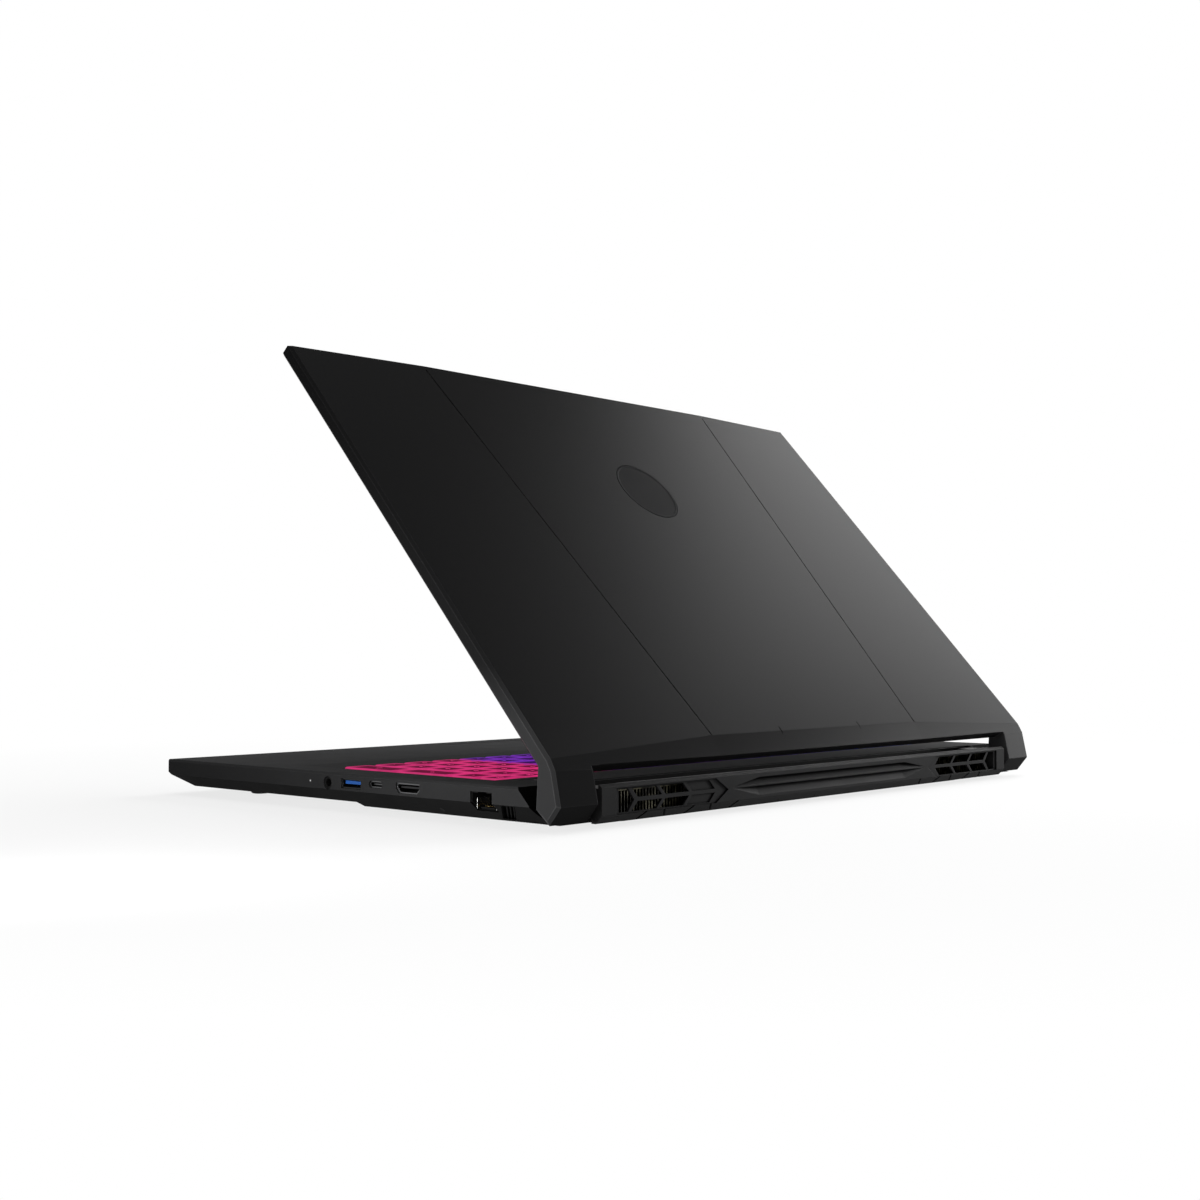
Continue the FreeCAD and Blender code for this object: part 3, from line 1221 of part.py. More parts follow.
def lid_plan(edge, rear):
    """Plan outline of the lid's front part, inside its edge by a margin."""
    half = HALF - edge
    corner = FRONT_Y + LID_CORNER_BACK + edge
    front = LID_FRONT + edge
    return [(-half, corner), (-LID_FRONT_FLAT, front), (LID_FRONT_FLAT, front), (half, corner),
            (half, rear), (-half, rear)]


def lid_body():
    """The lid as one solid block with its legs, chamfered along its sides."""
    chamfer = LID_EDGE_CHAMFER
    side = leg_side()
    shoulder = HALF - chamfer
    leg = prism_x(side, LEG_IN, shoulder)
    small = inset(side, chamfer)
    ends = [Part.makePolygon([vec(shoulder, y, z) for y, z in side + side[:1]]),
            Part.makePolygon([vec(HALF, y, z) for y, z in small + small[:1]])]
    cap = Part.makeLoft(ends, True, True)
    body = join([prism_x(plate_side(), -LEG_IN, LEG_IN)] + both(leg) + both(cap))
    return body.cut(crease_facets() + front_facets())


def crease_facets():
    """What the lid loses behind its crease: a flat facet in the middle and one towards each leg."""
    tilt = math.tan(math.radians(LID_FACET_TILT))
    reach = LID_FACET_REACH
    outline = [(0.0, 0.0), (reach, -reach * tilt), (reach, FAR_CUT), (0.0, FAR_CUT)]
    start = [vec(-LID_CREASE_FLAT, LID_CREASE_Y + y, LID_Z1 + z) for y, z in outline]
    facets = [prism(start, vec(2.0 * LID_CREASE_FLAT, 0, 0))]
    run = HALF + CUT - LID_CREASE_FLAT
    slope = (LID_CREASE_SIDE_Y - LID_CREASE_Y) / (HALF - LID_CREASE_FLAT)
    start = [vec(LID_CREASE_FLAT, LID_CREASE_Y + y, LID_Z1 + z) for y, z in outline]
    return facets + both(prism(start, vec(run, run * slope, 0)))


def front_facets():
    """What the lid loses at its front: the slanted corners of its lip and their upper bevel."""
    chamfer = LID_EDGE_CHAMFER
    corner = FRONT_Y + LID_CORNER_BACK
    flat = LID_FRONT_FLAT
    ahead = LID_FRONT - FAR_CUT
    aside = HALF + FAR_CUT
    outline = [(flat, LID_FRONT), (flat, ahead), (aside, ahead), (aside, corner), (HALF, corner)]
    facets = both(prism_z(outline, 0.0, LID_Z1 + CUT))
    bevel = [vec(flat, LID_FRONT - CUT, LID_Z1 - chamfer - CUT),
             vec(flat, LID_FRONT + chamfer + CUT, LID_Z1 + CUT),
             vec(flat, LID_FRONT - CUT, LID_Z1 + CUT)]
    return facets + both(prism(bevel, vec(HALF - flat, corner - LID_FRONT, 0)))


def lid_grooves():
    """The two long fine grooves, the two short ticks on the crease and the badge's seat."""
    half = GROOVE_WIDTH / 2.0
    tick = TICK_LENGTH / 2.0
    top = LID_Z1 + GROOVE_PAST
    cuts = []
    for x0, y0, x1, y1 in ((GROOVE_FRONT_X, LID_FRONT + GROOVE_MARGIN, LID_CREASE_FLAT, LID_CREASE_Y),
                           (TICK_X, LID_CREASE_Y - tick, TICK_X, LID_CREASE_Y + tick)):
        section = [vec(x0 - half, y0, top), vec(x0 + half, y0, top), vec(x0, y0, LID_Z1 - GROOVE_DEPTH)]
        cuts += both(prism(section, vec(x1 - x0, y1 - y0, 0)))
    seat = LID_Z1 + BADGE_PROUD - BADGE_THICK
    cuts.append(rod(0, BADGE_Y, seat, Z_AXIS, BADGE_R + BADGE_FIT, BADGE_THICK + CUT))
    return cuts


def throat_slab(outside, inside, trim, x0, x1):
    """A slab along the leg's screen-side face, from its throat towards its heel."""
    throat = vec(0, HINGE_Y + LEG_THROAT_Y, LID_Z0)
    heel = vec(0, HINGE_Y + LEG_HEEL[0], HINGE_Z + LEG_HEEL[1])
    along = (heel - throat).normalize()
    inwards = X_AXIS.cross(along)
    end = heel - along * trim
    corners = [throat - inwards * outside, end - inwards * outside,
               end + inwards * inside, throat + inwards * inside]
    return prism_x([(corner.y, corner.z) for corner in corners], x0, x1)


def lid_cover():
    """The lid's back shell with its two hollow legs."""
    leg_x0 = LEG_IN + WALL
    leg_x1 = HALF - WALL - LID_EDGE_CHAMFER
    low = LID_Z0 - CUT
    edge = WALL + LID_EDGE_CHAMFER / 2.0
    side = HALF - edge
    step = LID_STEP_Y - CUT
    plate_rear = LID_REAR - LID_REAR_LEAN - WALL
    throat = HINGE_Y + LEG_THROAT_Y + LEG_THROAT_ROOM
    cavities = [prism_z(lid_plan(edge, LID_STEP_Y), low, LID_INNER),
                box(-side, side, step, LEG_WALL_Y, low, LID_LOW_INNER),
                box(-LEG_IN, LEG_IN, step, plate_rear, low, LID_LOW_INNER)]
    leg_room = prism_x(inset(leg_side(), WALL), leg_x0, leg_x1)
    front_room = box(leg_x0 - CUT, leg_x1 + CUT, LID_FRONT, LEG_WALL_Y - CUT, low, LID_Z1)
    cavities += both(leg_room.cut(front_room))
    cavities += both(box(leg_x0, leg_x1, LEG_WALL_Y - CUT, throat, low, LID_LOW_INNER))
    cavities += both(throat_slab(2.0 * CUT, WALL + LEG_COVER_ROOM, LEG_HEEL_TRIM, leg_x0, leg_x1))
    cavities += both(rod(LEG_IN - CUT, HINGE_Y, HINGE_Z, X_AXIS, SHAFT_HOLE_R, WALL + 2.0 * CUT))
    save_lid("lid_cover", [lid_body().cut(cavities + lid_grooves()).removeSplitter()])


def screen_bezel():
    """The frame round the screen, with a tab that closes each leg."""
    edge = WALL + LID_EDGE_CHAMFER / 2.0 + FIT
    top = PANEL_Z0
    frame = prism_z(lid_plan(edge, LEG_WALL_Y - FIT), LID_Z0, top)
    middle = box(FIT - LEG_IN, LEG_IN - FIT, LID_STEP_Y, LID_REAR - LID_REAR_LEAN - WALL - FIT, LID_Z0, top)
    tab_x0 = LEG_IN + WALL + FIT
    tab_x1 = HALF - WALL - LID_EDGE_CHAMFER - FIT
    tab = box(tab_x0, tab_x1, LID_STEP_Y, HINGE_Y + LEG_THROAT_Y + BEZEL_THICK, LID_Z0, top)
    cover = throat_slab(0.0, LEG_COVER, LEG_HEEL_TRIM + FIT, tab_x0, tab_x1)
    whole = join([frame, middle] + both(tab) + both(cover))
    window = box(-SCREEN_WIDTH / 2.0, SCREEN_WIDTH / 2.0, SCREEN_Y0, SCREEN_Y1, LID_Z0 - CUT, top + CUT)
    lens = rod(0, WEBCAM_Y, LID_Z0 - CUT, Z_AXIS, LENS_R + PORT_FIT, BEZEL_THICK + 2.0 * CUT)
    save_lid("screen_bezel", [whole.cut([window, lens])])


def hinge_arm():
    """The right hinge's lid half: the shaft, the bar in the leg and the strap behind the panel."""
    shaft_x0 = GRILLE_HALF - WALL - FIT - BARREL_LENGTH + FIT
    arm_x0 = LEG_IN + WALL + FIT
    arm_x1 = arm_x0 + HINGE_ARM
    shaft = rod(shaft_x0, HINGE_Y, HINGE_Z, X_AXIS, SHAFT_R, arm_x1 - shaft_x0)
    throat = vec(0, LEG_THROAT_Y + HINGE_Y, LID_Z0)
    heel = vec(0, HINGE_Y + LEG_HEEL[0], HINGE_Z + LEG_HEEL[1])
    along = (throat - heel).normalize()
    across = X_AXIS.cross(along) * HINGE_BAR
    axis = vec(0, HINGE_Y, HINGE_Z)
    far = axis + along * HINGE_BAR_LENGTH
    corners = [axis - across, axis + across, far + across, far - across]
    bar = prism_x([(corner.y, corner.z) for corner in corners], arm_x0, arm_x1)
    low = PANEL_Z0 + FIT
    link_y = LID_STEP_Y - FIT
    shelf = box(arm_x0, arm_x1, link_y - HINGE_LINK, far.y, low, LID_LOW_INNER - FIT)
    link = box(arm_x0, arm_x1, link_y - HINGE_LINK, link_y, low, LID_INNER)
    strap = box(arm_x0, arm_x1, link_y - HINGE_STRAP, link_y, PANEL_Z1, LID_INNER)
    return join([shaft, bar, shelf, link, strap])


def lid():
    """The lid's pieces."""
    lid_cover()
    screen_bezel()
    arm = hinge_arm()
    save_lid("hinge_arm_right", [arm])
    save_lid("hinge_arm_left", [mirrored(arm)])
    half = PANEL_WIDTH / 2.0
    save_lid("display_panel", [box(-half, half, PANEL_Y0, PANEL_Y1, PANEL_Z0, PANEL_Z1)])
    half = WEBCAM_WIDTH / 2.0
    webcam_y = LID_FRONT + WALL + LID_EDGE_CHAMFER / 2.0 + FIT
    save_lid("webcam_module", [box(-half, half, webcam_y, PANEL_Y0 - FIT, PANEL_Z0, PANEL_Z1)])
    save_lid("webcam_lens", [rod(0, WEBCAM_Y, LID_Z0 + LENS_SUNK, Z_AXIS, LENS_R, BEZEL_THICK - LENS_SUNK)])
    seat = LID_Z1 + BADGE_PROUD - BADGE_THICK
    save_lid("lid_badge", [rod(0, BADGE_Y, seat, Z_AXIS, BADGE_R, BADGE_THICK)])
    bumpers = []
    for x, y in ((HALF - BUMPER_EDGE, FRONT_Y + BUMPER_EDGE), (HALF - 2.0 * BUMPER_EDGE, BUMPER_REAR_Y)):
        bumpers += both(rod(x, y, LID_Z0 - BUMPER_HEIGHT, Z_AXIS, BUMPER_R, BUMPER_HEIGHT))
    save_lid("bezel_bumpers", bumpers)
    y = PANEL_Y1 + CABLE_GAP
    cable = box(CABLE_X, LEG_IN - CABLE_GAP, y, y + CABLE_WIDTH, PANEL_Z0, PANEL_Z0 + CABLE_THICK)
    save_lid("display_cable", [cable])
    y = PANEL_Y0 - ANTENNA_LAP
    antenna = box(ANTENNA_X, ANTENNA_X + ANTENNA_LENGTH, y, y + ANTENNA_WIDTH,
                  LID_INNER - ANTENNA_THICK, LID_INNER)
    save_lid("lid_antennas", both(antenna))


def main():
    """Build and write every piece."""
    os.makedirs("parts", exist_ok=True)
    bottom_cover()
    top_case()
    rear_grille()
    cooling()
    boards_and_modules()
    keyboard()
    touchpad()
    power_button()
    ports()
    hinges_and_fasteners()
    lid()


main()
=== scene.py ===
"""Looks of a 17-inch laptop computer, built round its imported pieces."""

import json
import logging
import math
from dataclasses import dataclass
from enum import Enum
from typing import Any, Iterable, Optional, Sequence, Union

import bmesh
import bpy
from mathutils import Matrix, Vector


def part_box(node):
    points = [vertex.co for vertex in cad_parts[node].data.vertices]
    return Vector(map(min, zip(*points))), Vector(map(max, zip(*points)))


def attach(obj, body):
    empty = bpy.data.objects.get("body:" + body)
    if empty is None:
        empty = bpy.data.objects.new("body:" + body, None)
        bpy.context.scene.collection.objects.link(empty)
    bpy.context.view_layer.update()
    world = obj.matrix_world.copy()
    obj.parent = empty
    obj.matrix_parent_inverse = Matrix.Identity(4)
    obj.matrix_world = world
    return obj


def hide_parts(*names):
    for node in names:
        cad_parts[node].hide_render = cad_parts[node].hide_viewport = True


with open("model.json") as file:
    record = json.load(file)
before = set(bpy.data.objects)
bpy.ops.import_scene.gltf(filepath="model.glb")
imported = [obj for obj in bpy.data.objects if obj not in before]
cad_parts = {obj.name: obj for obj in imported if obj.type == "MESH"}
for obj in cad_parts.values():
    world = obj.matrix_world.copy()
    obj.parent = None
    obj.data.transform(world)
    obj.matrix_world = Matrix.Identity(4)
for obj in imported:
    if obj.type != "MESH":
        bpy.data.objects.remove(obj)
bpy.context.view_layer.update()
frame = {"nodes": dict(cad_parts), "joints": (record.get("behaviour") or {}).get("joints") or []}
LOG = logging.getLogger("laptop")
MM = 0.001
MERGE_GAP = 0.001 * MM
ROW_STEP = 3.0 * MM
UP = Vector((0.0, 0.0, 1.0))
DOWN = -UP
Colour = tuple[float, float, float]
Box = tuple[Vector, Vector]
Socket = bpy.types.NodeSocket
Feed = Union[float, Sequence[float], Socket]
WHITE = (1.0, 1.0, 1.0, 1.0)


def rgba(colour: Sequence[float]) -> tuple[float, float, float, float]:
    """A colour with full opacity."""
    return (colour[0], colour[1], colour[2], 1.0)


class Graph:
    """Adds nodes to one shader tree and joins them."""

    def __init__(self, tree: bpy.types.NodeTree) -> None:
        """Start from an empty tree."""
        self.tree = tree
        tree.nodes.clear()

    def add(self, kind: str, feeds: Optional[dict[Union[str, int], Feed]] = None,
            **settings: Any) -> bpy.types.Node:
        """Add a node to the tree.

        Args:
            kind: The node's type, without the prefix that shader nodes share.
            feeds: What goes into its inputs, by socket name or number.
            **settings: Properties of the node itself.

        Returns:
            The new node.
        """
        node = self.tree.nodes.new(kind if kind.startswith("NodeGroup") else "ShaderNode" + kind)
        for name, value in settings.items():
            setattr(node, name, value)
        for key, value in (feeds or {}).items():
            self.feed(node.inputs[key], value)
        return node

    def feed(self, socket: Socket, value: Feed) -> None:
        """Join a socket to an input, or set the input's own value.

        Args:
            socket: The input.
            value: A socket or a plain value.
        """
        if isinstance(value, Socket):
            self.tree.links.new(value, socket)
        else:
            socket.default_value = value

    def math(self, operation: str, first: Feed, second: Feed = 0.0) -> Socket:
        """The result of one sum on two values."""
        return self.add("Math", {0: first, 1: second}, operation=operation).outputs[0]

    def product(self, first: Feed, *others: Feed) -> Socket:
        """Multiply several values.

        Args:
            first: The first value.
            *others: The rest.

        Returns:
            Their product.
        """
        for other in others:
            first = self.math("MULTIPLY", first, other)
        return first

    def mix(self, factor: Feed, first: Feed, second: Feed) -> Socket:
        """A colour between two colours."""
        return self.add("Mix", {0: factor, 6: first, 7: second}, data_type="RGBA").outputs[2]

    def scaled(self, colour: Feed, factor: Feed) -> Socket:
        """A colour made darker or lighter by a factor."""
        return self.add("VectorMath", {0: colour, "Scale": factor}, operation="SCALE").outputs[0]

    def spread(self, value: Feed, low: float, high: float,
               to_low: float = 0.0, to_high: float = 1.0) -> Socket:
        """A value moved from one range to another and kept inside it."""
        feeds = {"Value": value, "From Min": low, "From Max": high, "To Min": to_low, "To Max": to_high}
        return self.add("MapRange", feeds).outputs[0]

    def ramp(self, factor: Feed, stops: Sequence[tuple[float, Colour]]) -> Socket:
        """A colour picked along a row of stops.

        Args:
            factor: Where along the row, from 0 to 1.
            stops: Place and colour of each stop.

        Returns:
            The picked colour.
        """
        node = self.add("ValToRGB", {"Fac": factor})
        elements = node.color_ramp.elements
        while len(elements) < len(stops):
            elements.new(1.0)
        for element, (place, colour) in zip(elements, stops):
            element.position = place
            element.color = rgba(colour)
        return node.outputs["Color"]

    def place(self) -> Socket:
        """Object coordinates, in metres."""
        return self.add("TexCoord").outputs["Object"]

    def parts(self, vector: Feed) -> Sequence[Socket]:
        """The three parts of a vector."""
        return self.add("SeparateXYZ", {0: vector}).outputs

    def facing(self) -> Socket:
        """The direction that the surface faces."""
        return self.add("NewGeometry").outputs["Normal"]

    def effect(self, tree: bpy.types.NodeTree, feeds: dict[str, Feed]) -> Sequence[Socket]:
        """What a shared effect gives out when its inputs get some values."""
        return self.add("Group", feeds, node_tree=tree).outputs


class SharedEffects:
    """Shader groups that many finishes use, each with its own values."""

    COARSE_SHARE = 0.02
    EDGE_TURN = (0.995, 0.85)
    BRUSH_STRETCH = (60.0, 4000.0, 4000.0)
    OPEN_RANGE = (0.35, 0.95)

    def __init__(self) -> None:
        """Build every group once."""
        self.grain = self.build_grain()
        self.edges = self.build_edges()
        self.brush = self.build_brush()
        self.crevice_shade_group = self.build_crevice_shade()

    @staticmethod
    def begin(name: str, inputs: dict[str, str],
              outputs: dict[str, str]) -> tuple[Graph, bpy.types.Node, bpy.types.Node]:
        """Start a group with named sockets.

        Args:
            name: The group's name.
            inputs: Kind of each input, by name.
            outputs: Kind of each output, by name.

        Returns:
            The group's graph, its input node and its output node.
        """
        tree = bpy.data.node_groups.new(name, "ShaderNodeTree")
        for names, side in ((inputs, "INPUT"), (outputs, "OUTPUT")):
            for socket, kind in names.items():
                tree.interface.new_socket(name=socket, in_out=side, socket_type="NodeSocket" + kind)
        graph = Graph(tree)
        return graph, graph.add("NodeGroupInput"), graph.add("NodeGroupOutput")

    def build_grain(self) -> bpy.types.NodeTree:
        """Fine moulded grain over broad faint mottling.

        Returns:
            The group.
        """
        graph, source, sink = self.begin(
            "moulded_grain", {"Vector": "Vector", "Scale": "Float", "Amount": "Float"},
            {"Shade": "Float", "Roughness": "Float", "Height": "Float"})
        vector = source.outputs["Vector"]
        scale = source.outputs["Scale"]
        amount = source.outputs["Amount"]
        fine = graph.add("TexNoise", {"Vector": vector, "Scale": scale, "Detail": 2.0}).outputs[0]
        coarse_scale = graph.math("MULTIPLY", scale, self.COARSE_SHARE)
        coarse = graph.add("TexNoise", {"Vector": vector, "Scale": coarse_scale, "Detail": 3.0}).outputs[0]
        both = graph.math("SUBTRACT", graph.math("ADD", fine, coarse), 1.0)
        graph.feed(sink.inputs["Shade"], graph.math("ADD", graph.math("MULTIPLY", both, amount), 1.0))
        centred = graph.math("SUBTRACT", coarse, 0.5)
        graph.feed(sink.inputs["Roughness"], graph.math("MULTIPLY", centred, amount))
        graph.feed(sink.inputs["Height"], fine)
        return graph.tree

    def build_edges(self) -> bpy.types.NodeTree:
        """Softened edges and a mask along them.

        Returns:
            The group.
        """
        graph, source, sink = self.begin(
            "softened_edges", {"Radius": "Float"}, {"Normal": "Vector", "Mask": "Float"})
        soft = graph.add("Bevel", {"Radius": source.outputs["Radius"]}, samples=4).outputs[0]
        turned = graph.add("VectorMath", {0: soft, 1: graph.facing()}, operation="DOT_PRODUCT")
        graph.feed(sink.inputs["Normal"], soft)
        graph.feed(sink.inputs["Mask"], graph.spread(turned.outputs["Value"], *self.EDGE_TURN))
        return graph.tree

    def build_brush(self) -> bpy.types.NodeTree:
        """Fine lines along one axis, as on rolled or brushed metal.

        Returns:
            The group.
        """
        graph, source, sink = self.begin(
            "brushed_lines", {"Vector": "Vector", "Amount": "Float"}, {"Shade": "Float", "Height": "Float"})
        across = graph.add("Mapping", {"Vector": source.outputs["Vector"], "Scale": self.BRUSH_STRETCH})
        lines = graph.add("TexNoise", {"Vector": across.outputs[0], "Scale": 1.0, "Detail": 3.0}).outputs[0]
        centred = graph.math("SUBTRACT", lines, 0.5)
        shade = graph.math("MULTIPLY", centred, source.outputs["Amount"])
        graph.feed(sink.inputs["Shade"], graph.math("ADD", shade, 1.0))
        graph.feed(sink.inputs["Height"], lines)
        return graph.tree

    def build_crevice_shade(self) -> bpy.types.NodeTree:
        """A mask that is low in the piece's own narrow gaps and grooves, for painted shade there.

        Returns:
            The group.
        """
        graph, source, sink = self.begin("painted_crevice_shade", {"Reach": "Float"}, {"Open": "Float"})
        feeds = {"Distance": source.outputs["Reach"]}
        openness = graph.add("AmbientOcclusion", feeds, samples=8, only_local=True).outputs["AO"]
        graph.feed(sink.inputs["Open"], graph.spread(openness, *self.OPEN_RANGE))
        return graph.tree


EFFECTS = SharedEffects()


@dataclass(frozen=True)
class Finish:
    """One surface finish with fine grain, faint mottling, softened edges paled by wear and painted highlight,
    and painted shade in its own crevices.
    """

    name: str
    colour: Colour
    roughness: float
    specular: float = 0.25
    metallic: float = 0.0
    grain_scale: float = 2600.0
    grain_depth: float = 0.012
    mottling: float = 0.25
    edge_radius: float = 0.25
    # How much paler edges get: wear and painted highlight.
    edge_tone: float = 0.5
    edge_rough: float = 0.0
    brushed: float = 0.0
    coat: float = 0.0
    crevice: float = 0.0
    # How dark the painted shade in crevices gets.
    crevice_shade_tone: float = 0.25

    def shade(self, graph: Graph) -> Optional[Socket]:
        """A further shade factor that a kind of finish may add."""
        return None

    def edge_gain(self, graph: Graph) -> Feed:
        """How much paler the edges are, for wear and painted highlight."""
        return self.edge_tone

    def extra(self, graph: Graph, colour: Socket) -> dict[str, Feed]:
        """Further inputs of the shader that a kind of finish may set."""
        return {}

    def base(self, graph: Graph) -> tuple[Socket, Socket, Socket]:
        """Colour, roughness and normal that the finish shares.

        Args:
            graph: The material's graph.

        Returns:
            Sockets for the base colour, the roughness and the normal.
        """
        place = graph.place()
        feeds = {"Vector": place, "Scale": self.grain_scale, "Amount": self.mottling}
        grain = graph.effect(EFFECTS.grain, feeds)
        edges = graph.effect(EFFECTS.edges, {"Radius": self.edge_radius * MM})
        shade = grain["Shade"]
        height = grain["Height"]
        if self.brushed:
            brush = graph.effect(EFFECTS.brush, {"Vector": place, "Amount": self.brushed})
            shade = graph.math("MULTIPLY", shade, brush["Shade"])
            height = brush["Height"]
        # Edges paled for wear and as a painted highlight.
        edge_wear_and_highlight = graph.math("MULTIPLY", edges["Mask"], self.edge_gain(graph))
        shade = graph.math("MULTIPLY", shade, graph.math("ADD", edge_wear_and_highlight, 1.0))
        # Painted shade in the piece's own narrow gaps and grooves.
        if self.crevice:
            gaps = graph.effect(EFFECTS.crevice_shade_group, {"Reach": self.crevice * MM})
            crevice_shade = graph.spread(gaps["Open"], 0.0, 1.0, self.crevice_shade_tone, 1.0)
            shade = graph.math("MULTIPLY", shade, crevice_shade)
        further = self.shade(graph)
        if further is not None:
            shade = graph.math("MULTIPLY", shade, further)
        colour = graph.scaled(self.colour, shade)
        rough = graph.math("ADD", grain["Roughness"], self.roughness)
        if self.edge_rough:
            rough = graph.math("ADD", rough, graph.math("MULTIPLY", edges["Mask"], self.edge_rough))
        feeds = {"Height": height, "Distance": self.grain_depth * MM, "Normal": edges["Normal"]}
        normal = graph.add("Bump", feeds).outputs[0]
        return colour, rough, normal

    def material(self) -> bpy.types.Material:
        """The finish as a material.

        Returns:
            The material.
        """
        material = bpy.data.materials.new(self.name)
        material.use_nodes = True
        graph = Graph(material.node_tree)
        colour, rough, normal = self.base(graph)
        feeds = {"Base Color": colour, "Roughness": rough, "Normal": normal, "Metallic": self.metallic,
                 "Specular IOR Level": self.specular, "Coat Weight": self.coat}
        feeds.update(self.extra(graph, colour))
        shader = graph.add("BsdfPrincipled", feeds)
        graph.add("OutputMaterial", {"Surface": shader.outputs[0]})
        return material


@dataclass(frozen=True)
class CaseFinish(Finish):
    """A shell's finish, with painted shade inside the pockets that the lid's legs turn in."""

    pocket_x: float = 175.3
    pocket_y: float = 99.0
    pocket_shade_tone: float = 0.06
    rear_face: float = 0.2

    def shade(self, graph: Graph) -> Optional[Socket]:
        """Painted shade on faces that look to the rear inside the leg pockets.

        Args:
            graph: The material's graph.

        Returns:
            The shade factor.
        """
        across, along, _ = graph.parts(graph.place())
        wide = graph.math("GREATER_THAN", graph.math("ABSOLUTE", across), self.pocket_x * MM)
        back = graph.math("GREATER_THAN", along, self.pocket_y * MM)
        rearward = graph.math("GREATER_THAN", graph.parts(graph.facing())[1], self.rear_face)
        # Painted shade where the lid's legs shade the pockets.
        inside = graph.product(wide, back, rearward)
        return graph.spread(inside, 0.0, 1.0, 1.0, self.pocket_shade_tone)


@dataclass(frozen=True)
class LidFinish(Finish):
    """The lid's coat, with painted light on the sideways faces of its sides and legs and low on its legs, and
    painted shade in its grooves.
    """

    side_x: float = 170.0
    leg_height: float = 42.0
    leg_fade: float = 67.2
    foot_height: float = 20.0
    leg_side_light_tone: float = 5.2
    side_light_tone: float = 2.2
    foot_light_tone: float = 1.4
    groove_shade_tone: float = 0.1
    seam_shade_tone: float = -0.9
    slant: tuple[float, float] = (0.45, 0.75)

    def edge_gain(self, graph: Graph) -> Feed:
        """Painted highlights along the edges at the lid's sides and painted shade along the grooves between
        them.

        Args:
            graph: The material's graph.

        Returns:
            The gain along edges.
        """
        across = graph.math("ABSOLUTE", graph.parts(graph.place())[0])
        outer = graph.math("GREATER_THAN", across, self.side_x * MM)
        # Painted highlight on the outer edges, painted shade along the grooves.
        return graph.spread(outer, 0.0, 1.0, self.seam_shade_tone, self.edge_tone)

    def shade(self, graph: Graph) -> Optional[Socket]:
        """Painted light, strong on the legs' sides and less on the lid's sides, painted light low on the
        legs, and painted shade on the slanted faces of the grooves.

        Args:
            graph: The material's graph.

        Returns:
            The shade factor.
        """
        # Painted light on the sideways faces of the legs and sides and low on the legs, painted shade on the
        # grooves' slanted faces.
        aside = graph.math("ABSOLUTE", graph.parts(graph.facing())[0])
        across, _, upward = graph.parts(graph.place())
        outer = graph.math("GREATER_THAN", graph.math("ABSOLUTE", across), self.side_x * MM)
        side = graph.spread(upward, self.leg_height * MM, self.leg_fade * MM, self.leg_side_light_tone, self.side_light_tone)
        rise = graph.product(outer, graph.math("SUBTRACT", side, self.groove_shade_tone))
        tone = graph.math("ADD", rise, self.groove_shade_tone)
        turned = graph.spread(aside, *self.slant)
        plain = graph.spread(upward, self.foot_height * MM, self.leg_height * MM, self.foot_light_tone, 1.0)
        return graph.math("ADD", graph.product(turned, graph.math("SUBTRACT", tone, plain)), plain)


@dataclass(frozen=True)
class GrilleFinish(Finish):
    """The rear grille's satin moulding, with painted shade on the faces that look upwards."""

    top_shade_tone: float = 0.45
    up_face: tuple[float, float] = (0.55, 0.7)

    def shade(self, graph: Graph) -> Optional[Socket]:
        """Painted shade on faces that look upwards.

        Args:
            graph: The material's graph.

        Returns:
            The shade factor.
        """
        upward = graph.parts(graph.facing())[2]
        # Painted shade on upward faces.
        return graph.spread(upward, *self.up_face, 1.0, self.top_shade_tone)


@dataclass(frozen=True)
class FinFinish(Finish):
    """Thin metal fins with painted highlights and painted shade in patches placed by noise."""

    patches: float = 230.0
    # Noise range from the patches with painted shade to those with painted highlights.
    bare: tuple[float, float] = (0.42, 0.64)
    patch_shade_and_highlight: tuple[float, float] = (0.25, 3.0)

    def shade(self, graph: Graph) -> Optional[Socket]:
        """Painted highlights on some patches and painted shade on others.

        Args:
            graph: The material's graph.

        Returns:
            The shade factor.
        """
        feeds = {"Vector": graph.place(), "Scale": self.patches, "Detail": 1.0}
        patch = graph.add("TexNoise", feeds).outputs[0]
        return graph.spread(patch, *self.bare, *self.patch_shade_and_highlight)


@dataclass(frozen=True)
class ShellFinish(Finish):
    """A socket's dark metal shell with a bare bright front edge."""

    mouth_x: float = 197.7
    out_face: tuple[float, float] = (0.6, 0.8)
    rim_tone: float = 4.0

    def shade(self, graph: Graph) -> Optional[Socket]:
        """High on the rim that looks straight out of the side wall.

        Args:
            graph: The material's graph.

        Returns:
            The shade factor.
        """
        outward = graph.spread(graph.math("ABSOLUTE", graph.parts(graph.facing())[0]), *self.out_face)
        across = graph.math("ABSOLUTE", graph.parts(graph.place())[0])
        rim = graph.product(outward, graph.math("GREATER_THAN", across, self.mouth_x * MM))
        return graph.spread(rim, 0.0, 1.0, 1.0, self.rim_tone)


@dataclass(frozen=True)
class SpotFinish(Finish):
    """A small lit lens in the middle of a dark round window in the side wall."""

    y: float = -20.3
    z: float = 13.1
    radius: float = 0.4
    core: float = 0.24
    glow: float = 0.7

    def extra(self, graph: Graph, colour: Socket) -> dict[str, Feed]:
        """A glow inside the lens's radius.

        Args:
            graph: The material's graph.
            colour: The window's colour; not used.

        Returns:
            The shader's glow.
        """
        _, along, upward = graph.parts(graph.place())
        across = graph.math("SUBTRACT", along, self.y * MM)
        rise = graph.math("SUBTRACT", upward, self.z * MM)
        squares = graph.math("ADD", graph.product(across, across), graph.product(rise, rise))
        reach = graph.math("SQRT", squares)
        inside = graph.spread(reach, self.radius * MM, self.core * MM)
        return {"Emission Color": graph.scaled((1.0, 1.0, 1.0), inside), "Emission Strength": self.glow}


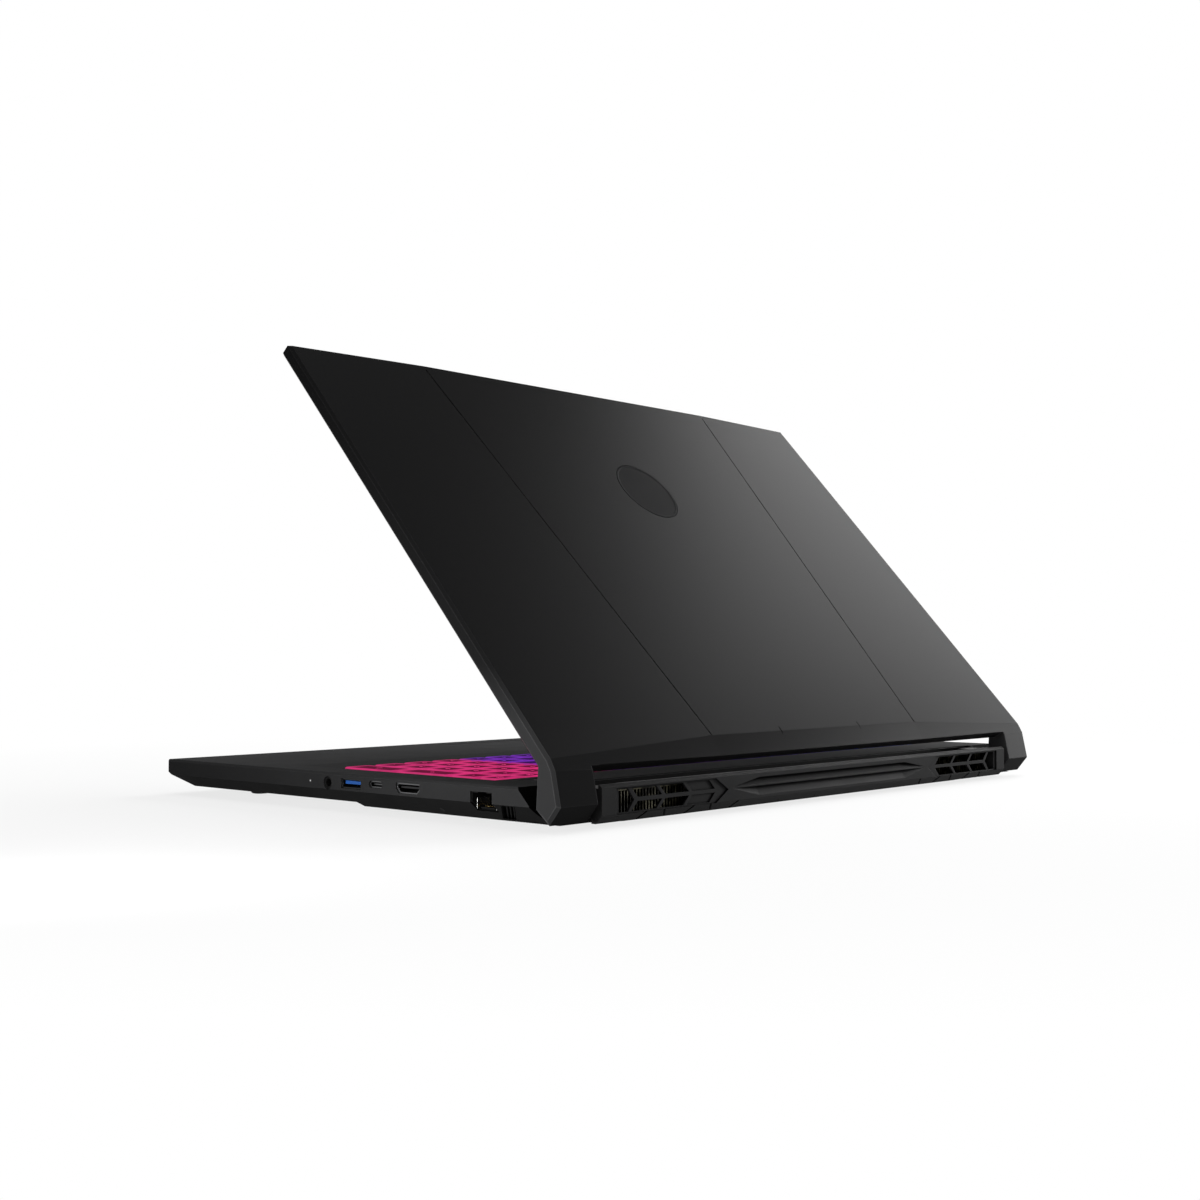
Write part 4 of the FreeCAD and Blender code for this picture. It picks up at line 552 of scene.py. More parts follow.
class Zone(Enum):
    """Colours of the keyboard's light, from the left to the right."""

    BLUE = (0.03, 0.10, 0.75)
    VIOLET = (0.09, 0.03, 0.65)
    PURPLE = (0.20, 0.025, 0.53)
    PINK = (0.76, 0.03, 0.20)


@dataclass(frozen=True)
class ZoneLight:
    """Where the four light zones of the keyboard lie across its width."""

    half_width: float = 178.0
    edges: tuple[float, float, float] = (-84.0, 8.0, 99.0)
    blend: float = 5.0

    def colour(self, graph: Graph) -> Socket:
        """The zone's colour at each place.

        Args:
            graph: The material's graph.

        Returns:
            The colour.
        """
        across = graph.parts(graph.place())[0]
        reach = self.half_width * MM
        factor = graph.spread(across, -reach, reach)
        zones = [zone.value for zone in Zone]
        stops = [(0.0, zones[0])]
        for index, edge in enumerate(self.edges):
            for sign, zone in ((-1.0, zones[index]), (1.0, zones[index + 1])):
                place = (edge + sign * self.blend + self.half_width) / (2.0 * self.half_width)
                stops.append((place, zone))
        return graph.ramp(factor, stops)


@dataclass(frozen=True)
class LitFinish(Finish):
    """A finish that the keyboard's light shines through, with a faint unevenness."""

    glow: float = 1.0
    patches: float = 90.0
    patch_range: tuple[float, float] = (0.3, 0.7)
    patch_glow: tuple[float, float] = (0.75, 1.1)

    def extra(self, graph: Graph, colour: Socket) -> dict[str, Feed]:
        """A glow in the zones' colours.

        Args:
            graph: The material's graph.
            colour: The unlit colour; not used.

        Returns:
            The shader's glow.
        """
        feeds = {"Vector": graph.place(), "Scale": self.patches, "Detail": 1.0}
        noise = graph.add("TexNoise", feeds).outputs[0]
        uneven = graph.spread(noise, *self.patch_range, *self.patch_glow)
        light = graph.scaled(ZoneLight().colour(graph), uneven)
        return {"Emission Color": light, "Emission Strength": self.glow}


@dataclass(frozen=True)
class ScreenFinish(Finish):
    """Dark glass with a lighter picture area inside a black border."""

    picture: Colour = (0.010, 0.0105, 0.0125)
    border: float = 6.5
    chin: float = 13.0

    def extra(self, graph: Graph, colour: Socket) -> dict[str, Feed]:
        """A lighter colour inside the picture area.

        Args:
            graph: The material's graph.
            colour: The border's colour.

        Returns:
            The shader's colour.
        """
        turn = LidPlace()
        flat = graph.add("Mapping", {"Vector": graph.place(), "Rotation": (turn.angle, 0.0, 0.0)}).outputs[0]
        back = Matrix.Rotation(turn.angle, 3, "X")
        points = [back @ vert.co for vert in frame["nodes"]["display_panel"].data.vertices]
        across, along, _ = graph.parts(flat)
        half = max(point.x for point in points) - self.border * MM
        low = min(point.y for point in points) + self.border * MM
        high = max(point.y for point in points) - self.chin * MM
        inside = graph.product(
            graph.math("LESS_THAN", graph.math("ABSOLUTE", across), half),
            graph.math("GREATER_THAN", along, low), graph.math("LESS_THAN", along, high))
        return {"Base Color": graph.mix(inside, colour, rgba(self.picture))}


LID_COAT = LidFinish("lid_coat", (0.0045, 0.0045, 0.0046), 0.28, specular=0.003, mottling=0.03,
                     grain_scale=260.0, grain_depth=0.0, edge_radius=0.6, edge_tone=2.5, edge_rough=0.7)
CASE_BLACK = CaseFinish("case_black", (0.0057, 0.0057, 0.0058), 0.55, specular=0.008, edge_tone=1.2,
                        crevice=3.0)
GRILLE_BLACK = GrilleFinish("grille_black", (0.0165, 0.0165, 0.0167), 0.42, specular=0.005, edge_radius=0.35,
                            edge_tone=0.1, crevice=4.0, crevice_shade_tone=0.15)
DECK_GREY = CaseFinish("deck_grey", (0.021, 0.021, 0.0214), 0.65, specular=0.0012, edge_tone=1.2, crevice=2.0)
INNER_BLACK = Finish("inner_black", (0.012, 0.012, 0.012), 0.6, specular=0.1)
BEZEL_BLACK = Finish("bezel_black", (0.012, 0.012, 0.012), 0.5, specular=0.02, grain_depth=0.02, crevice=2.0)
KEY_TOP = LitFinish("key_top", (0.008, 0.008, 0.008), 0.55, specular=0.0, edge_radius=0.1, glow=0.17)
KEY_RIM = LitFinish("key_rim", (0.02, 0.02, 0.02), 0.5, specular=0.0, edge_radius=0.1, glow=0.80)
PLATE_GLOW = LitFinish("plate_glow", (0.010, 0.010, 0.010), 0.6, specular=0.05, glow=0.06)
LEGEND_GLOW = LitFinish("legend_glow", (0.05, 0.05, 0.05), 0.5, specular=0.0, glow=1.5, edge_radius=0.02)
GUIDE_GLOW = LitFinish("guide_glow", (0.6, 0.6, 0.62), 0.3, glow=0.5)
SYMBOL_GREY = Finish("symbol_grey", (0.09, 0.09, 0.094), 0.5, specular=0.01, edge_radius=0.02)
RUBBER = Finish("matte_rubber", (0.018, 0.018, 0.018), 0.8, specular=0.2, grain_scale=900.0, grain_depth=0.05)
STEEL = Finish("brushed_steel", (0.42, 0.42, 0.43), 0.35, metallic=1.0, brushed=0.35)
HINGE_STEEL = Finish("hinge_steel", (0.05, 0.05, 0.052), 0.45, metallic=1.0, brushed=0.35)
SOCKET_STEEL = Finish("socket_steel", (0.030, 0.030, 0.031), 0.45, metallic=1.0, edge_tone=1.5,
                      edge_radius=0.15, crevice=2.5)
RIM_STEEL = Finish("rim_steel", (0.10, 0.10, 0.103), 0.4, metallic=1.0, edge_tone=1.5, edge_radius=0.15,
                   crevice=2.0)
HDMI_STEEL = ShellFinish("hdmi_steel", (0.030, 0.030, 0.031), 0.45, metallic=1.0, edge_tone=1.0,
                         edge_radius=0.1)
SPRING_STEEL = Finish("spring_steel", (0.35, 0.35, 0.34), 0.3, metallic=1.0, brushed=0.2, edge_radius=0.05)
SOCKET_BLACK = Finish("socket_black", (0.004, 0.004, 0.004), 0.6, specular=0.05, edge_radius=0.1)
CONTACT_GOLD = Finish("contact_gold", (0.62, 0.42, 0.16), 0.3, metallic=1.0, edge_radius=0.05)
INSERT_BLUE = Finish("insert_blue", (0.016, 0.075, 0.28), 0.45, specular=0.1, edge_radius=0.1)
FIN_BRASS = FinFinish("fin_brass", (0.032, 0.030, 0.020), 0.5, metallic=0.5, specular=0.05, brushed=0.5,
                      edge_radius=0.05, crevice=3.0, crevice_shade_tone=0.1)
# The far fin stack: a darker copy of the fins, painted shade for their place deep in the case.
FIN_SHADED = FinFinish("fin_painted_shade", (0.0045, 0.0043, 0.0030), 0.6, specular=0.0, brushed=0.5, edge_radius=0.05,
                     crevice=3.0, crevice_shade_tone=0.1, bare=(0.52, 0.66), patch_shade_and_highlight=(0.3, 5.0))
COPPER = Finish("pipe_copper", (0.55, 0.24, 0.12), 0.35, metallic=1.0, brushed=0.3)
BOARD_GREEN = Finish("board_green", (0.01, 0.06, 0.03), 0.5, grain_scale=700.0, mottling=0.8)
CHIP_BLACK = Finish("chip_black", (0.015, 0.015, 0.016), 0.3, specular=0.5)
FAN_BLACK = Finish("fan_black", (0.02, 0.02, 0.02), 0.5)
BATTERY_WRAP = Finish("battery_wrap", (0.025, 0.025, 0.028), 0.35, specular=0.4, grain_scale=300.0)
SCREEN_GLASS = ScreenFinish("dark_panel", (0.003, 0.003, 0.003), 0.22, specular=0.25, mottling=0.04,
                            grain_scale=260.0, grain_depth=0.0, edge_radius=0.1)
LENS_GLASS = Finish("lens_glass", (0.004, 0.004, 0.006), 0.05, specular=0.6, edge_radius=0.1, coat=1.0)
PAD_GLASS = Finish("pad_glass", (0.017, 0.017, 0.0174), 0.6, specular=0.002, edge_tone=2.0, grain_depth=0.004)
BADGE_SATIN = Finish("badge_satin", (0.005, 0.005, 0.0052), 0.40, specular=0.0015, edge_radius=0.5,
                     edge_tone=3.0, brushed=0.3)
STATUS_WHITE = SpotFinish("status_white", (0.02, 0.02, 0.02), 0.4, edge_radius=0.1)
CAMERA_LIGHT = Finish("camera_light", (0.3, 0.3, 0.3), 0.4, edge_radius=0.05)


class Shape:
    """A mesh being modelled, made of one or more closed solids."""

    SAME_WAY = 0.95

    def __init__(self) -> None:
        """Start with nothing."""
        self.mesh = bmesh.new()

    def block(self, low: Vector, high: Vector) -> list[bmesh.types.BMVert]:
        """Add a block between two corners.

        Args:
            low: Its lowest corner.
            high: Its highest corner.

        Returns:
            Its eight corners.
        """
        made = bmesh.ops.create_cube(self.mesh, size=1.0)["verts"]
        bmesh.ops.scale(self.mesh, vec=high - low, verts=made)
        bmesh.ops.translate(self.mesh, vec=(low + high) / 2.0, verts=made)
        return made

    def bevel(self, edges: Iterable[bmesh.types.BMEdge], width: float, segments: int) -> None:
        """Round some edges.

        Args:
            edges: The edges.
            width: How far the rounding reaches from each edge, in metres.
            segments: Number of faces across the rounding.
        """
        bmesh.ops.bevel(self.mesh, geom=list(edges), offset=width, offset_type="OFFSET", segments=segments,
                        profile=0.5, affect="EDGES", material=-1, clamp_overlap=True)

    def rounded_block(self, low: Vector, high: Vector, radius: float, segments: int = 2) -> None:
        """Add a block with every edge rounded."""
        corners = self.block(low, high)
        self.bevel({edge for corner in corners for edge in corner.link_edges}, radius, segments)

    def broadest(self, direction: Vector) -> bmesh.types.BMFace:
        """The largest face that looks in a direction.

        Args:
            direction: The direction.

        Returns:
            The face.
        """
        self.mesh.normal_update()
        facing = [face for face in self.mesh.faces if face.normal.dot(direction) > self.SAME_WAY]
        return max(facing, key=lambda face: face.calc_area())

    def upright_edges(self, height: float) -> list[bmesh.types.BMEdge]:
        """Edges that rise by more than half of a height."""
        return [edge for edge in self.mesh.edges
                if abs(edge.verts[0].co.z - edge.verts[1].co.z) > height / 2.0]

    def inset(self, face: bmesh.types.BMFace, width: float, depth: float) -> None:
        """Set a face in from its rim and sink it by a depth."""
        bmesh.ops.inset_region(self.mesh, faces=[face], use_even_offset=True, thickness=width, depth=-depth)

    def turned(self, outline: Sequence[tuple[float, float]], steps: int, angle: float = math.tau) -> None:
        """Add a solid turned about the upright axis.

        Args:
            outline: Radius and height of each point of the half outline, in millimetres.
            steps: Number of faces round the axis.
            angle: How far round the solid goes.
        """
        whole = angle == math.tau
        points = [self.mesh.verts.new((radius * MM, 0.0, height * MM)) for radius, height in outline]
        pairs = zip(points, points[1:] + ([] if whole else points[:1]))
        geometry = points + [self.mesh.edges.new(pair) for pair in pairs]
        if not whole:
            geometry.append(self.mesh.faces.new(points))
        bmesh.ops.spin(self.mesh, geom=geometry, cent=(0.0, 0.0, 0.0), axis=UP, angle=angle, steps=steps,
                       use_merge=whole, use_duplicate=False)
        bmesh.ops.remove_doubles(self.mesh, verts=self.mesh.verts, dist=MERGE_GAP)
        bmesh.ops.recalc_face_normals(self.mesh, faces=self.mesh.faces)

    def lettering(self, words: str, height: float, depth: float) -> None:
        """Add raised words centred on the origin.

        Args:
            words: What they say.
            height: Size of the letters, in metres.
            depth: How far they rise above and reach below the origin's level.
        """
        curve = bpy.data.curves.new("legend", "FONT")
        curve.body = words
        curve.size = height
        curve.extrude = depth
        curve.resolution_u = 2
        curve.align_x = "CENTER"
        curve.align_y = "CENTER"
        text = bpy.data.objects.new("legend", curve)
        bpy.context.scene.collection.objects.link(text)
        flat = bpy.data.meshes.new_from_object(text)
        self.mesh.from_mesh(flat)
        bpy.data.objects.remove(text)
        bpy.data.curves.remove(curve)
        bpy.data.meshes.remove(flat)
        bmesh.ops.remove_doubles(self.mesh, verts=self.mesh.verts, dist=MERGE_GAP)

    def take(self, other: "Shape", place: Matrix) -> None:
        """Add another shape, moved to a place, and empty it.

        Args:
            other: The other shape.
            place: Where it goes.
        """
        bmesh.ops.transform(other.mesh, matrix=place, verts=other.mesh.verts)
        spare = bpy.data.meshes.new("spare")
        other.mesh.to_mesh(spare)
        other.mesh.free()
        self.mesh.from_mesh(spare)
        bpy.data.meshes.remove(spare)

    def piece(self, name: str, body: str, finishes: Sequence[Finish],
              replaced: Sequence[str] = ()) -> bpy.types.Object:
        """Turn the shape into a piece of the visual model.

        Args:
            name: The piece's name.
            body: The body that it rides on.
            finishes: Its finishes, in the order of its faces' numbers.
            replaced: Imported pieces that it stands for.

        Returns:
            The piece.
        """
        mesh = bpy.data.meshes.new(name)
        self.mesh.to_mesh(mesh)
        self.mesh.free()
        for finish in finishes:
            mesh.materials.append(finished(finish))
        made = bpy.data.objects.new(name, mesh)
        bpy.context.scene.collection.objects.link(made)
        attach(made, body)
        if replaced:
            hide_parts(*replaced)
        LOG.info("%s rides on %s with %d faces", name, body, len(mesh.polygons))
        return made


def finished(finish: Finish) -> bpy.types.Material:
    """The finish's material, made once."""
    return bpy.data.materials.get(finish.name) or finish.material()


def dress(finish: Finish, *nodes: str) -> None:
    """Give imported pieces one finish.

    Args:
        finish: The finish.
        *nodes: Names of the pieces.
    """
    material = finished(finish)
    for name in nodes:
        for slot in frame["nodes"][name].material_slots:
            slot.material = material
        LOG.info("%s gets %s", name, finish.name)


def solids_of(node: str) -> list[Box]:
    """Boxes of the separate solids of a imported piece.

    Args:
        node: The piece's name.

    Returns:
        Lowest and highest corner of each solid, by rows from the rear, each from the left.
    """
    copy = bmesh.new()
    copy.from_mesh(frame["nodes"][node].data)
    bmesh.ops.remove_doubles(copy, verts=copy.verts, dist=MERGE_GAP)
    boxes = []
    left = set(copy.verts)
    while left:
        stack = [left.pop()]
        points = []
        while stack:
            vert = stack.pop()
            points.append(vert.co.copy())
            near = {edge.other_vert(vert) for edge in vert.link_edges} & left
            left -= near
            stack.extend(near)
        low = Vector([min(point[axis] for point in points) for axis in range(3)])
        high = Vector([max(point[axis] for point in points) for axis in range(3)])
        boxes.append((low, high))
    copy.free()
    return sorted(boxes, key=lambda box: (-round(box[1].y / ROW_STEP), box[0].x))


class LidPlace:
    """Where the lid's hinge line is, and how far the lid is open at rest."""

    def __init__(self) -> None:
        """Read the hinge from the frame."""
        hinge = next(joint for joint in frame["joints"] if joint["name"] == "lid_hinge")
        self.hinge = Vector(hinge["pos_m"])
        self.angle = math.radians(-hinge["range_deg"][0])

    def turn(self) -> Matrix:
        """The turn that takes a closed lid's direction to its rest direction."""
        return Matrix.Rotation(-self.angle, 4, "X")

    def at(self, point: Vector, flip: bool = False) -> Matrix:
        """A place on the lid whose height points out of the lid, or into the screen's side when flipped."""
        over = Matrix.Rotation(math.pi, 4, "X") if flip else Matrix.Identity(4)
        return Matrix.Translation(point) @ self.turn() @ over


class SubAssembly:
    """One group of pieces that are built and dressed together."""

    def build(self) -> None:
        """Model the pieces that Blender adds."""

    def dress(self) -> None:
        """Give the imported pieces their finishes."""


@dataclass
class BaseShells(SubAssembly):
    """Bottom cover, deck and the mouldings fixed inside them, and a plug in the right side's lower face."""

    plug: tuple[float, float, float] = (192.87, 61.88, 4.89)
    plug_face: tuple[float, float, float] = (0.64, 0.0, -0.768)
    plug_radius: float = 1.3
    plug_proud: float = 0.08
    plug_depth: float = 0.3
    plug_chamfer: float = 0.12
    plug_rim: float = 0.35
    plug_lip: float = 0.5
    plug_floor: float = 0.02
    plug_sides: int = 28

    def build(self) -> None:
        """A small round plug with a softened rim and a shallow cup."""
        radius = self.plug_radius
        high = self.plug_proud
        disc = Shape()
        disc.turned([(0.0, -self.plug_depth), (radius, -self.plug_depth), (radius, 0.0),
                     (radius - self.plug_chamfer, high), (radius - self.plug_rim, high),
                     (radius - self.plug_lip, self.plug_floor), (0.0, self.plug_floor)], self.plug_sides)
        turn = Vector(self.plug_face).to_track_quat("Z", "Y").to_matrix().to_4x4()
        shape = Shape()
        shape.take(disc, Matrix.Translation(Vector(self.plug) * MM) @ turn)
        shape.piece("side_plug", "base", [SOCKET_BLACK])

    def dress(self) -> None:
        """Matte black shells with a dark grey deck."""
        dress(CASE_BLACK, "bottom_cover")
        dress(DECK_GREY, "top_case")
        dress(GRILLE_BLACK, "rear_grille")
        dress(INNER_BLACK, "touchpad_bracket", "speakers")


@dataclass
class SidePorts(SubAssembly):
    """Sockets of both sides, with their contacts, springs and rims."""

    usb_strips: int = 4
    usb_strip_pitch: float = 2.2
    usb_strip_width: float = 1.1
    usb_strip_length: float = 8.0
    usb_strip_front: float = 1.0
    strip_thick: float = 0.08
    strip_edge: float = 0.03
    wires: int = 8
    wire_pitch: float = 1.02
    wire_width: float = 0.45
    wire_length: float = 9.0
    wire_height: float = 1.7
    wire_front: float = 5.5
    wire_thick: float = 0.3
    wire_edge: float = 0.08
    spring_height: tuple[float, float] = (0.9, 5.4)
    spring_reach: tuple[float, float] = (10.0, 2.6)
    spring_thick: float = 0.25
    jack_ring: tuple[float, float] = (2.85, 1.85)
    jack_ring_thick: float = 0.25
    jack_height: float = 12.8
    jack_chamfer: float = 0.15
    jack_sides: int = 40
    wall: float = 0.5

    def strips(self) -> None:
        """Contact strips under the tongues of the square sockets."""
        shape = Shape()
        for low, high in solids_of("usb_a_inserts"):
            outer = high.x if high.x > 0.0 else low.x
            inward = -math.copysign(MM, outer)
            middle = (low.y + high.y) / 2.0
            for index in range(self.usb_strips):
                y = middle + (index - (self.usb_strips - 1) / 2.0) * self.usb_strip_pitch * MM
                half = self.usb_strip_width * MM / 2.0
                reaches = (self.usb_strip_length, self.usb_strip_front)
                ends = sorted(outer + inward * reach for reach in reaches)
                shape.rounded_block(Vector((ends[0], y - half, low.z - self.strip_thick * MM)),
                                    Vector((ends[1], y + half, low.z)), self.strip_edge * MM, 1)
        shape.piece("usb_contacts", "base", [CONTACT_GOLD])

    def network_springs(self) -> None:
        """Contact wires and shield springs of the network socket."""
        low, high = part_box("ethernet_port")
        middle = (low.y + high.y) / 2.0
        wires = Shape()
        front = high.x - self.wire_front * MM
        for index in range(self.wires):
            y = middle + (index - (self.wires - 1) / 2.0) * self.wire_pitch * MM
            half = self.wire_width * MM / 2.0
            z = low.z + self.wire_height * MM
            wires.rounded_block(Vector((front - self.wire_length * MM, y - half, z)),
                                Vector((front, y + half, z + self.wire_thick * MM)), self.wire_edge * MM, 1)
        wires.piece("network_contacts", "base", [CONTACT_GOLD])
        springs = Shape()
        z0, z1 = (low.z + height * MM for height in self.spring_height)
        x0, x1 = (high.x - reach * MM for reach in self.spring_reach)
        thick = self.spring_thick * MM
        for y in (low.y + self.wall * MM, high.y - self.wall * MM - thick):
            springs.rounded_block(Vector((x0, y, z0)), Vector((x1, y + thick, z1)), self.wire_edge * MM, 2)
        springs.piece("network_springs", "base", [SPRING_STEEL])

    def jack_rim(self) -> None:
        """A thin metal ring round the audio socket's mouth."""
        low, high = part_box("audio_jack")
        outer, inner = self.jack_ring
        thick = self.jack_ring_thick
        slope = self.jack_chamfer
        shape = Shape()
        shape.turned([(inner, 0.0), (outer, 0.0), (outer, thick / 2.0), (outer - slope, thick),
                      (inner + slope, thick), (inner, thick / 2.0), (inner, 0.0)], self.jack_sides)
        place = Matrix.Translation((high.x, (low.y + high.y) / 2.0, self.jack_height * MM))
        ring = Shape()
        ring.take(shape, place @ Matrix.Rotation(math.pi / 2.0, 4, "Y"))
        ring.piece("audio_jack_rim", "base", [SOCKET_BLACK])

    def build(self) -> None:
        """Contacts, springs and the audio socket's rim."""
        self.strips()
        self.network_springs()
        self.jack_rim()

    def dress(self) -> None:
        """Dark steel and black plastic sockets with blue tongues."""
        dress(SOCKET_STEEL, "usb_a_port_right", "usb_a_ports_left")
        dress(RIM_STEEL, "usb_c_port")
        dress(HDMI_STEEL, "hdmi_port")
        dress(SOCKET_BLACK, "audio_jack", "ethernet_port", "power_inlet")
        dress(INSERT_BLUE, "usb_a_inserts")
        dress(STATUS_WHITE, "status_light")


@dataclass
class Keyboard(SubAssembly):
    """Key caps with lit edges and legends, over their plate and light guide."""

    taper: float = 0.9
    corner: float = 1.2
    edge: float = 0.35
    rim: float = 1.25
    dish: float = 0.12
    wall: float = 0.85
    roof: float = 1.1
    letter: float = 4.6
    word: float = 2.5
    relief: float = 0.04
    arrow: float = 1.4
    corner_faces: int = 3
    edge_faces: int = 2

    LEGENDS = {
        "function_keys": "Esc F1 F2 F3 F4 F5 F6 F7 F8 F9 F10 F11 F12 PrS Del Home PgU PgD End",
        "number_keys": "` 1 2 3 4 5 6 7 8 9 0 - = Back",
        "top_letter_keys": "Tab Q W E R T Y U I O P [ ] \\",
        "home_row_keys": "Caps A S D F G H J K L ; '",
        "enter_key": "Enter",
        "lower_letter_keys": "Shift Z X C V B N M , . / Shift",
        "bottom_row_keys": "Ctrl Fn _ Alt Alt Menu Ctrl",
        "space_bar": "_",
        "arrow_keys": "^90 ^180 ^270 ^0",
        "numpad_keys": "Num / * - 7 8 9 + 4 5 6 1 2 3 Ent 0 .",
    }

    def cap(self, low: Vector, high: Vector) -> Shape:
        """One hollow cap with rounded corners, a lit rim and a shallow dish.

        Args:
            low: Lowest corner of the key's room.
            high: Highest corner of the key's room.

        Returns:
            The cap's shape, whose dish has the second finish.
        """
        shape = Shape()
        size = high - low
        middle = (low + high) / 2.0
        corners = shape.block(low, high)
        shrink = (1.0 - 2.0 * self.taper * MM / size.x, 1.0 - 2.0 * self.taper * MM / size.y, 1.0)
        bmesh.ops.scale(shape.mesh, vec=shrink, space=Matrix.Translation(-middle),
                        verts=[corner for corner in corners if corner.co.z > middle.z])
        shape.bevel(shape.upright_edges(size.z), self.corner * MM, self.corner_faces)
        shape.bevel(shape.broadest(UP).edges, self.edge * MM, self.edge_faces)
        head = shape.broadest(UP)
        shape.inset(head, self.rim * MM, self.dish * MM)
        head.material_index = 1
        shape.inset(shape.broadest(DOWN), self.wall * MM, size.z - self.roof * MM)
        return shape

    def legend(self, words: str) -> Shape:
        """The legend of one key, centred on the origin.

        Args:
            words: What it says, or a mark and the angle of an arrow.

        Returns:
            The legend's shape.
        """
        shape = Shape()
        if words.startswith("^"):
            made = bmesh.ops.create_circle(shape.mesh, cap_ends=True, segments=3, radius=self.arrow * MM)
            raised = bmesh.ops.extrude_face_region(shape.mesh, geom=list(shape.mesh.faces))["geom"]
            verts = [item for item in raised if isinstance(item, bmesh.types.BMVert)]
            bmesh.ops.translate(shape.mesh, vec=UP * self.relief * MM, verts=verts)
            bmesh.ops.recalc_face_normals(shape.mesh, faces=shape.mesh.faces)
            pointing = math.atan2(made["verts"][0].co.y, made["verts"][0].co.x)
            turn = Matrix.Rotation(math.radians(float(words[1:])) - pointing, 4, "Z")
            bmesh.ops.transform(shape.mesh, matrix=turn, verts=shape.mesh.verts)
        else:
            shape.lettering(words, (self.letter if len(words) == 1 else self.word) * MM, self.relief * MM)
        return shape

    def build(self) -> None:
        """Every group of caps, each with its legends."""
        for node, row in self.LEGENDS.items():
            caps = Shape()
            legends = Shape()
            for (low, high), words in zip(solids_of(node), row.split(" "), strict=True):
                caps.take(self.cap(low, high), Matrix.Identity(4))
                if words != "_":
                    top = Vector(((low.x + high.x) / 2.0, (low.y + high.y) / 2.0, high.z - self.dish * MM))
                    legends.take(self.legend(words), Matrix.Translation(top))
            caps.piece(node + "_caps", node, [KEY_RIM, KEY_TOP], [node])
            if row != "_":
                legends.piece(node + "_legends", node, [LEGEND_GLOW])
            else:
                legends.mesh.free()

    def dress(self) -> None:
        """A dim plate over the bright light guide."""
        dress(PLATE_GLOW, "keyboard_plate", "key_scissors")
        dress(GUIDE_GLOW, "keyboard_light_guide")


@dataclass
class DeckControls(SubAssembly):
    """Touchpad and power button."""

    ring: tuple[float, float] = (1.45, 1.75)
    ring_gap: float = 70.0
    bar_width: float = 0.3
    bar_span: tuple[float, float] = (0.3, 1.9)
    bar_edge: float = 0.02
    relief: float = 0.05
    ring_sides: int = 30

    def build(self) -> None:
        """The usual open ring and bar on the power button."""
        low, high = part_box("power_button")
        inner, outer = self.ring
        turn = math.radians(360.0 - self.ring_gap)
        arc = Shape()
        arc.turned([(inner, 0.0), (outer, 0.0), (outer, self.relief), (inner, self.relief)],
                   self.ring_sides, turn)
        shape = Shape()
        place = Matrix.Translation(((low.x + high.x) / 2.0, (low.y + high.y) / 2.0, high.z))
        start = math.radians(90.0 + self.ring_gap / 2.0)
        shape.take(arc, place @ Matrix.Rotation(start, 4, "Z"))
        stem = Shape()
        half = self.bar_width * MM / 2.0
        near, far = (end * MM for end in self.bar_span)
        stem.rounded_block(Vector((-half, near, 0.0)), Vector((half, far, self.relief * MM)),
                           self.bar_edge * MM, 1)
        shape.take(stem, place)
        shape.piece("power_symbol", "power_button", [SYMBOL_GREY])

    def dress(self) -> None:
        """Smooth dark pad and a deck-grey button."""
        dress(PAD_GLASS, "touchpad")
        dress(DECK_GREY, "power_button")


@dataclass
class Insides(SubAssembly):
    """Cooling, boards and battery."""

    def dress(self) -> None:
        """Brass fins, the far stack with painted shade, copper pipes, green boards and black modules."""
        dress(FIN_BRASS, "fin_stack_right")
        dress(FIN_SHADED, "fin_stack_left")
        dress(COPPER, "heat_pipes")
        dress(FAN_BLACK, "fan_housing_right", "fan_housing_left", "fan_rotor_right", "fan_rotor_left")
        dress(BOARD_GREEN, "mainboard", "memory_modules", "ssd_module", "wireless_card", "power_switch_board")
        dress(CHIP_BLACK, "processor_chips")
        dress(BATTERY_WRAP, "battery_pack")


@dataclass
class HingesAndFeet(SubAssembly):
    """Hinge metal, screws and the rubber feet."""

    foot_corner: float = 4.0
    foot_edge: float = 1.4
    corner_faces: int = 5
    edge_faces: int = 3

    def build(self) -> None:
        """Rubber feet with round ends and soft lower edges."""
        feet = Shape()
        for low, high in solids_of("rubber_feet"):
            foot = Shape()
            foot.block(low, high)
            foot.bevel(foot.upright_edges(high.z - low.z), self.foot_corner * MM, self.corner_faces)
            foot.bevel(foot.broadest(DOWN).edges, self.foot_edge * MM, self.edge_faces)
            feet.take(foot, Matrix.Identity(4))
        feet.piece("rubber_feet_rounded", "base", [RUBBER], ["rubber_feet"])

    def dress(self) -> None:
        """Blackened hinges with brushed steel screws."""
        dress(HINGE_STEEL, "hinge_bracket_right", "hinge_bracket_left", "hinge_arm_right", "hinge_arm_left")
        dress(STEEL, "hinge_screws", "bottom_screws")


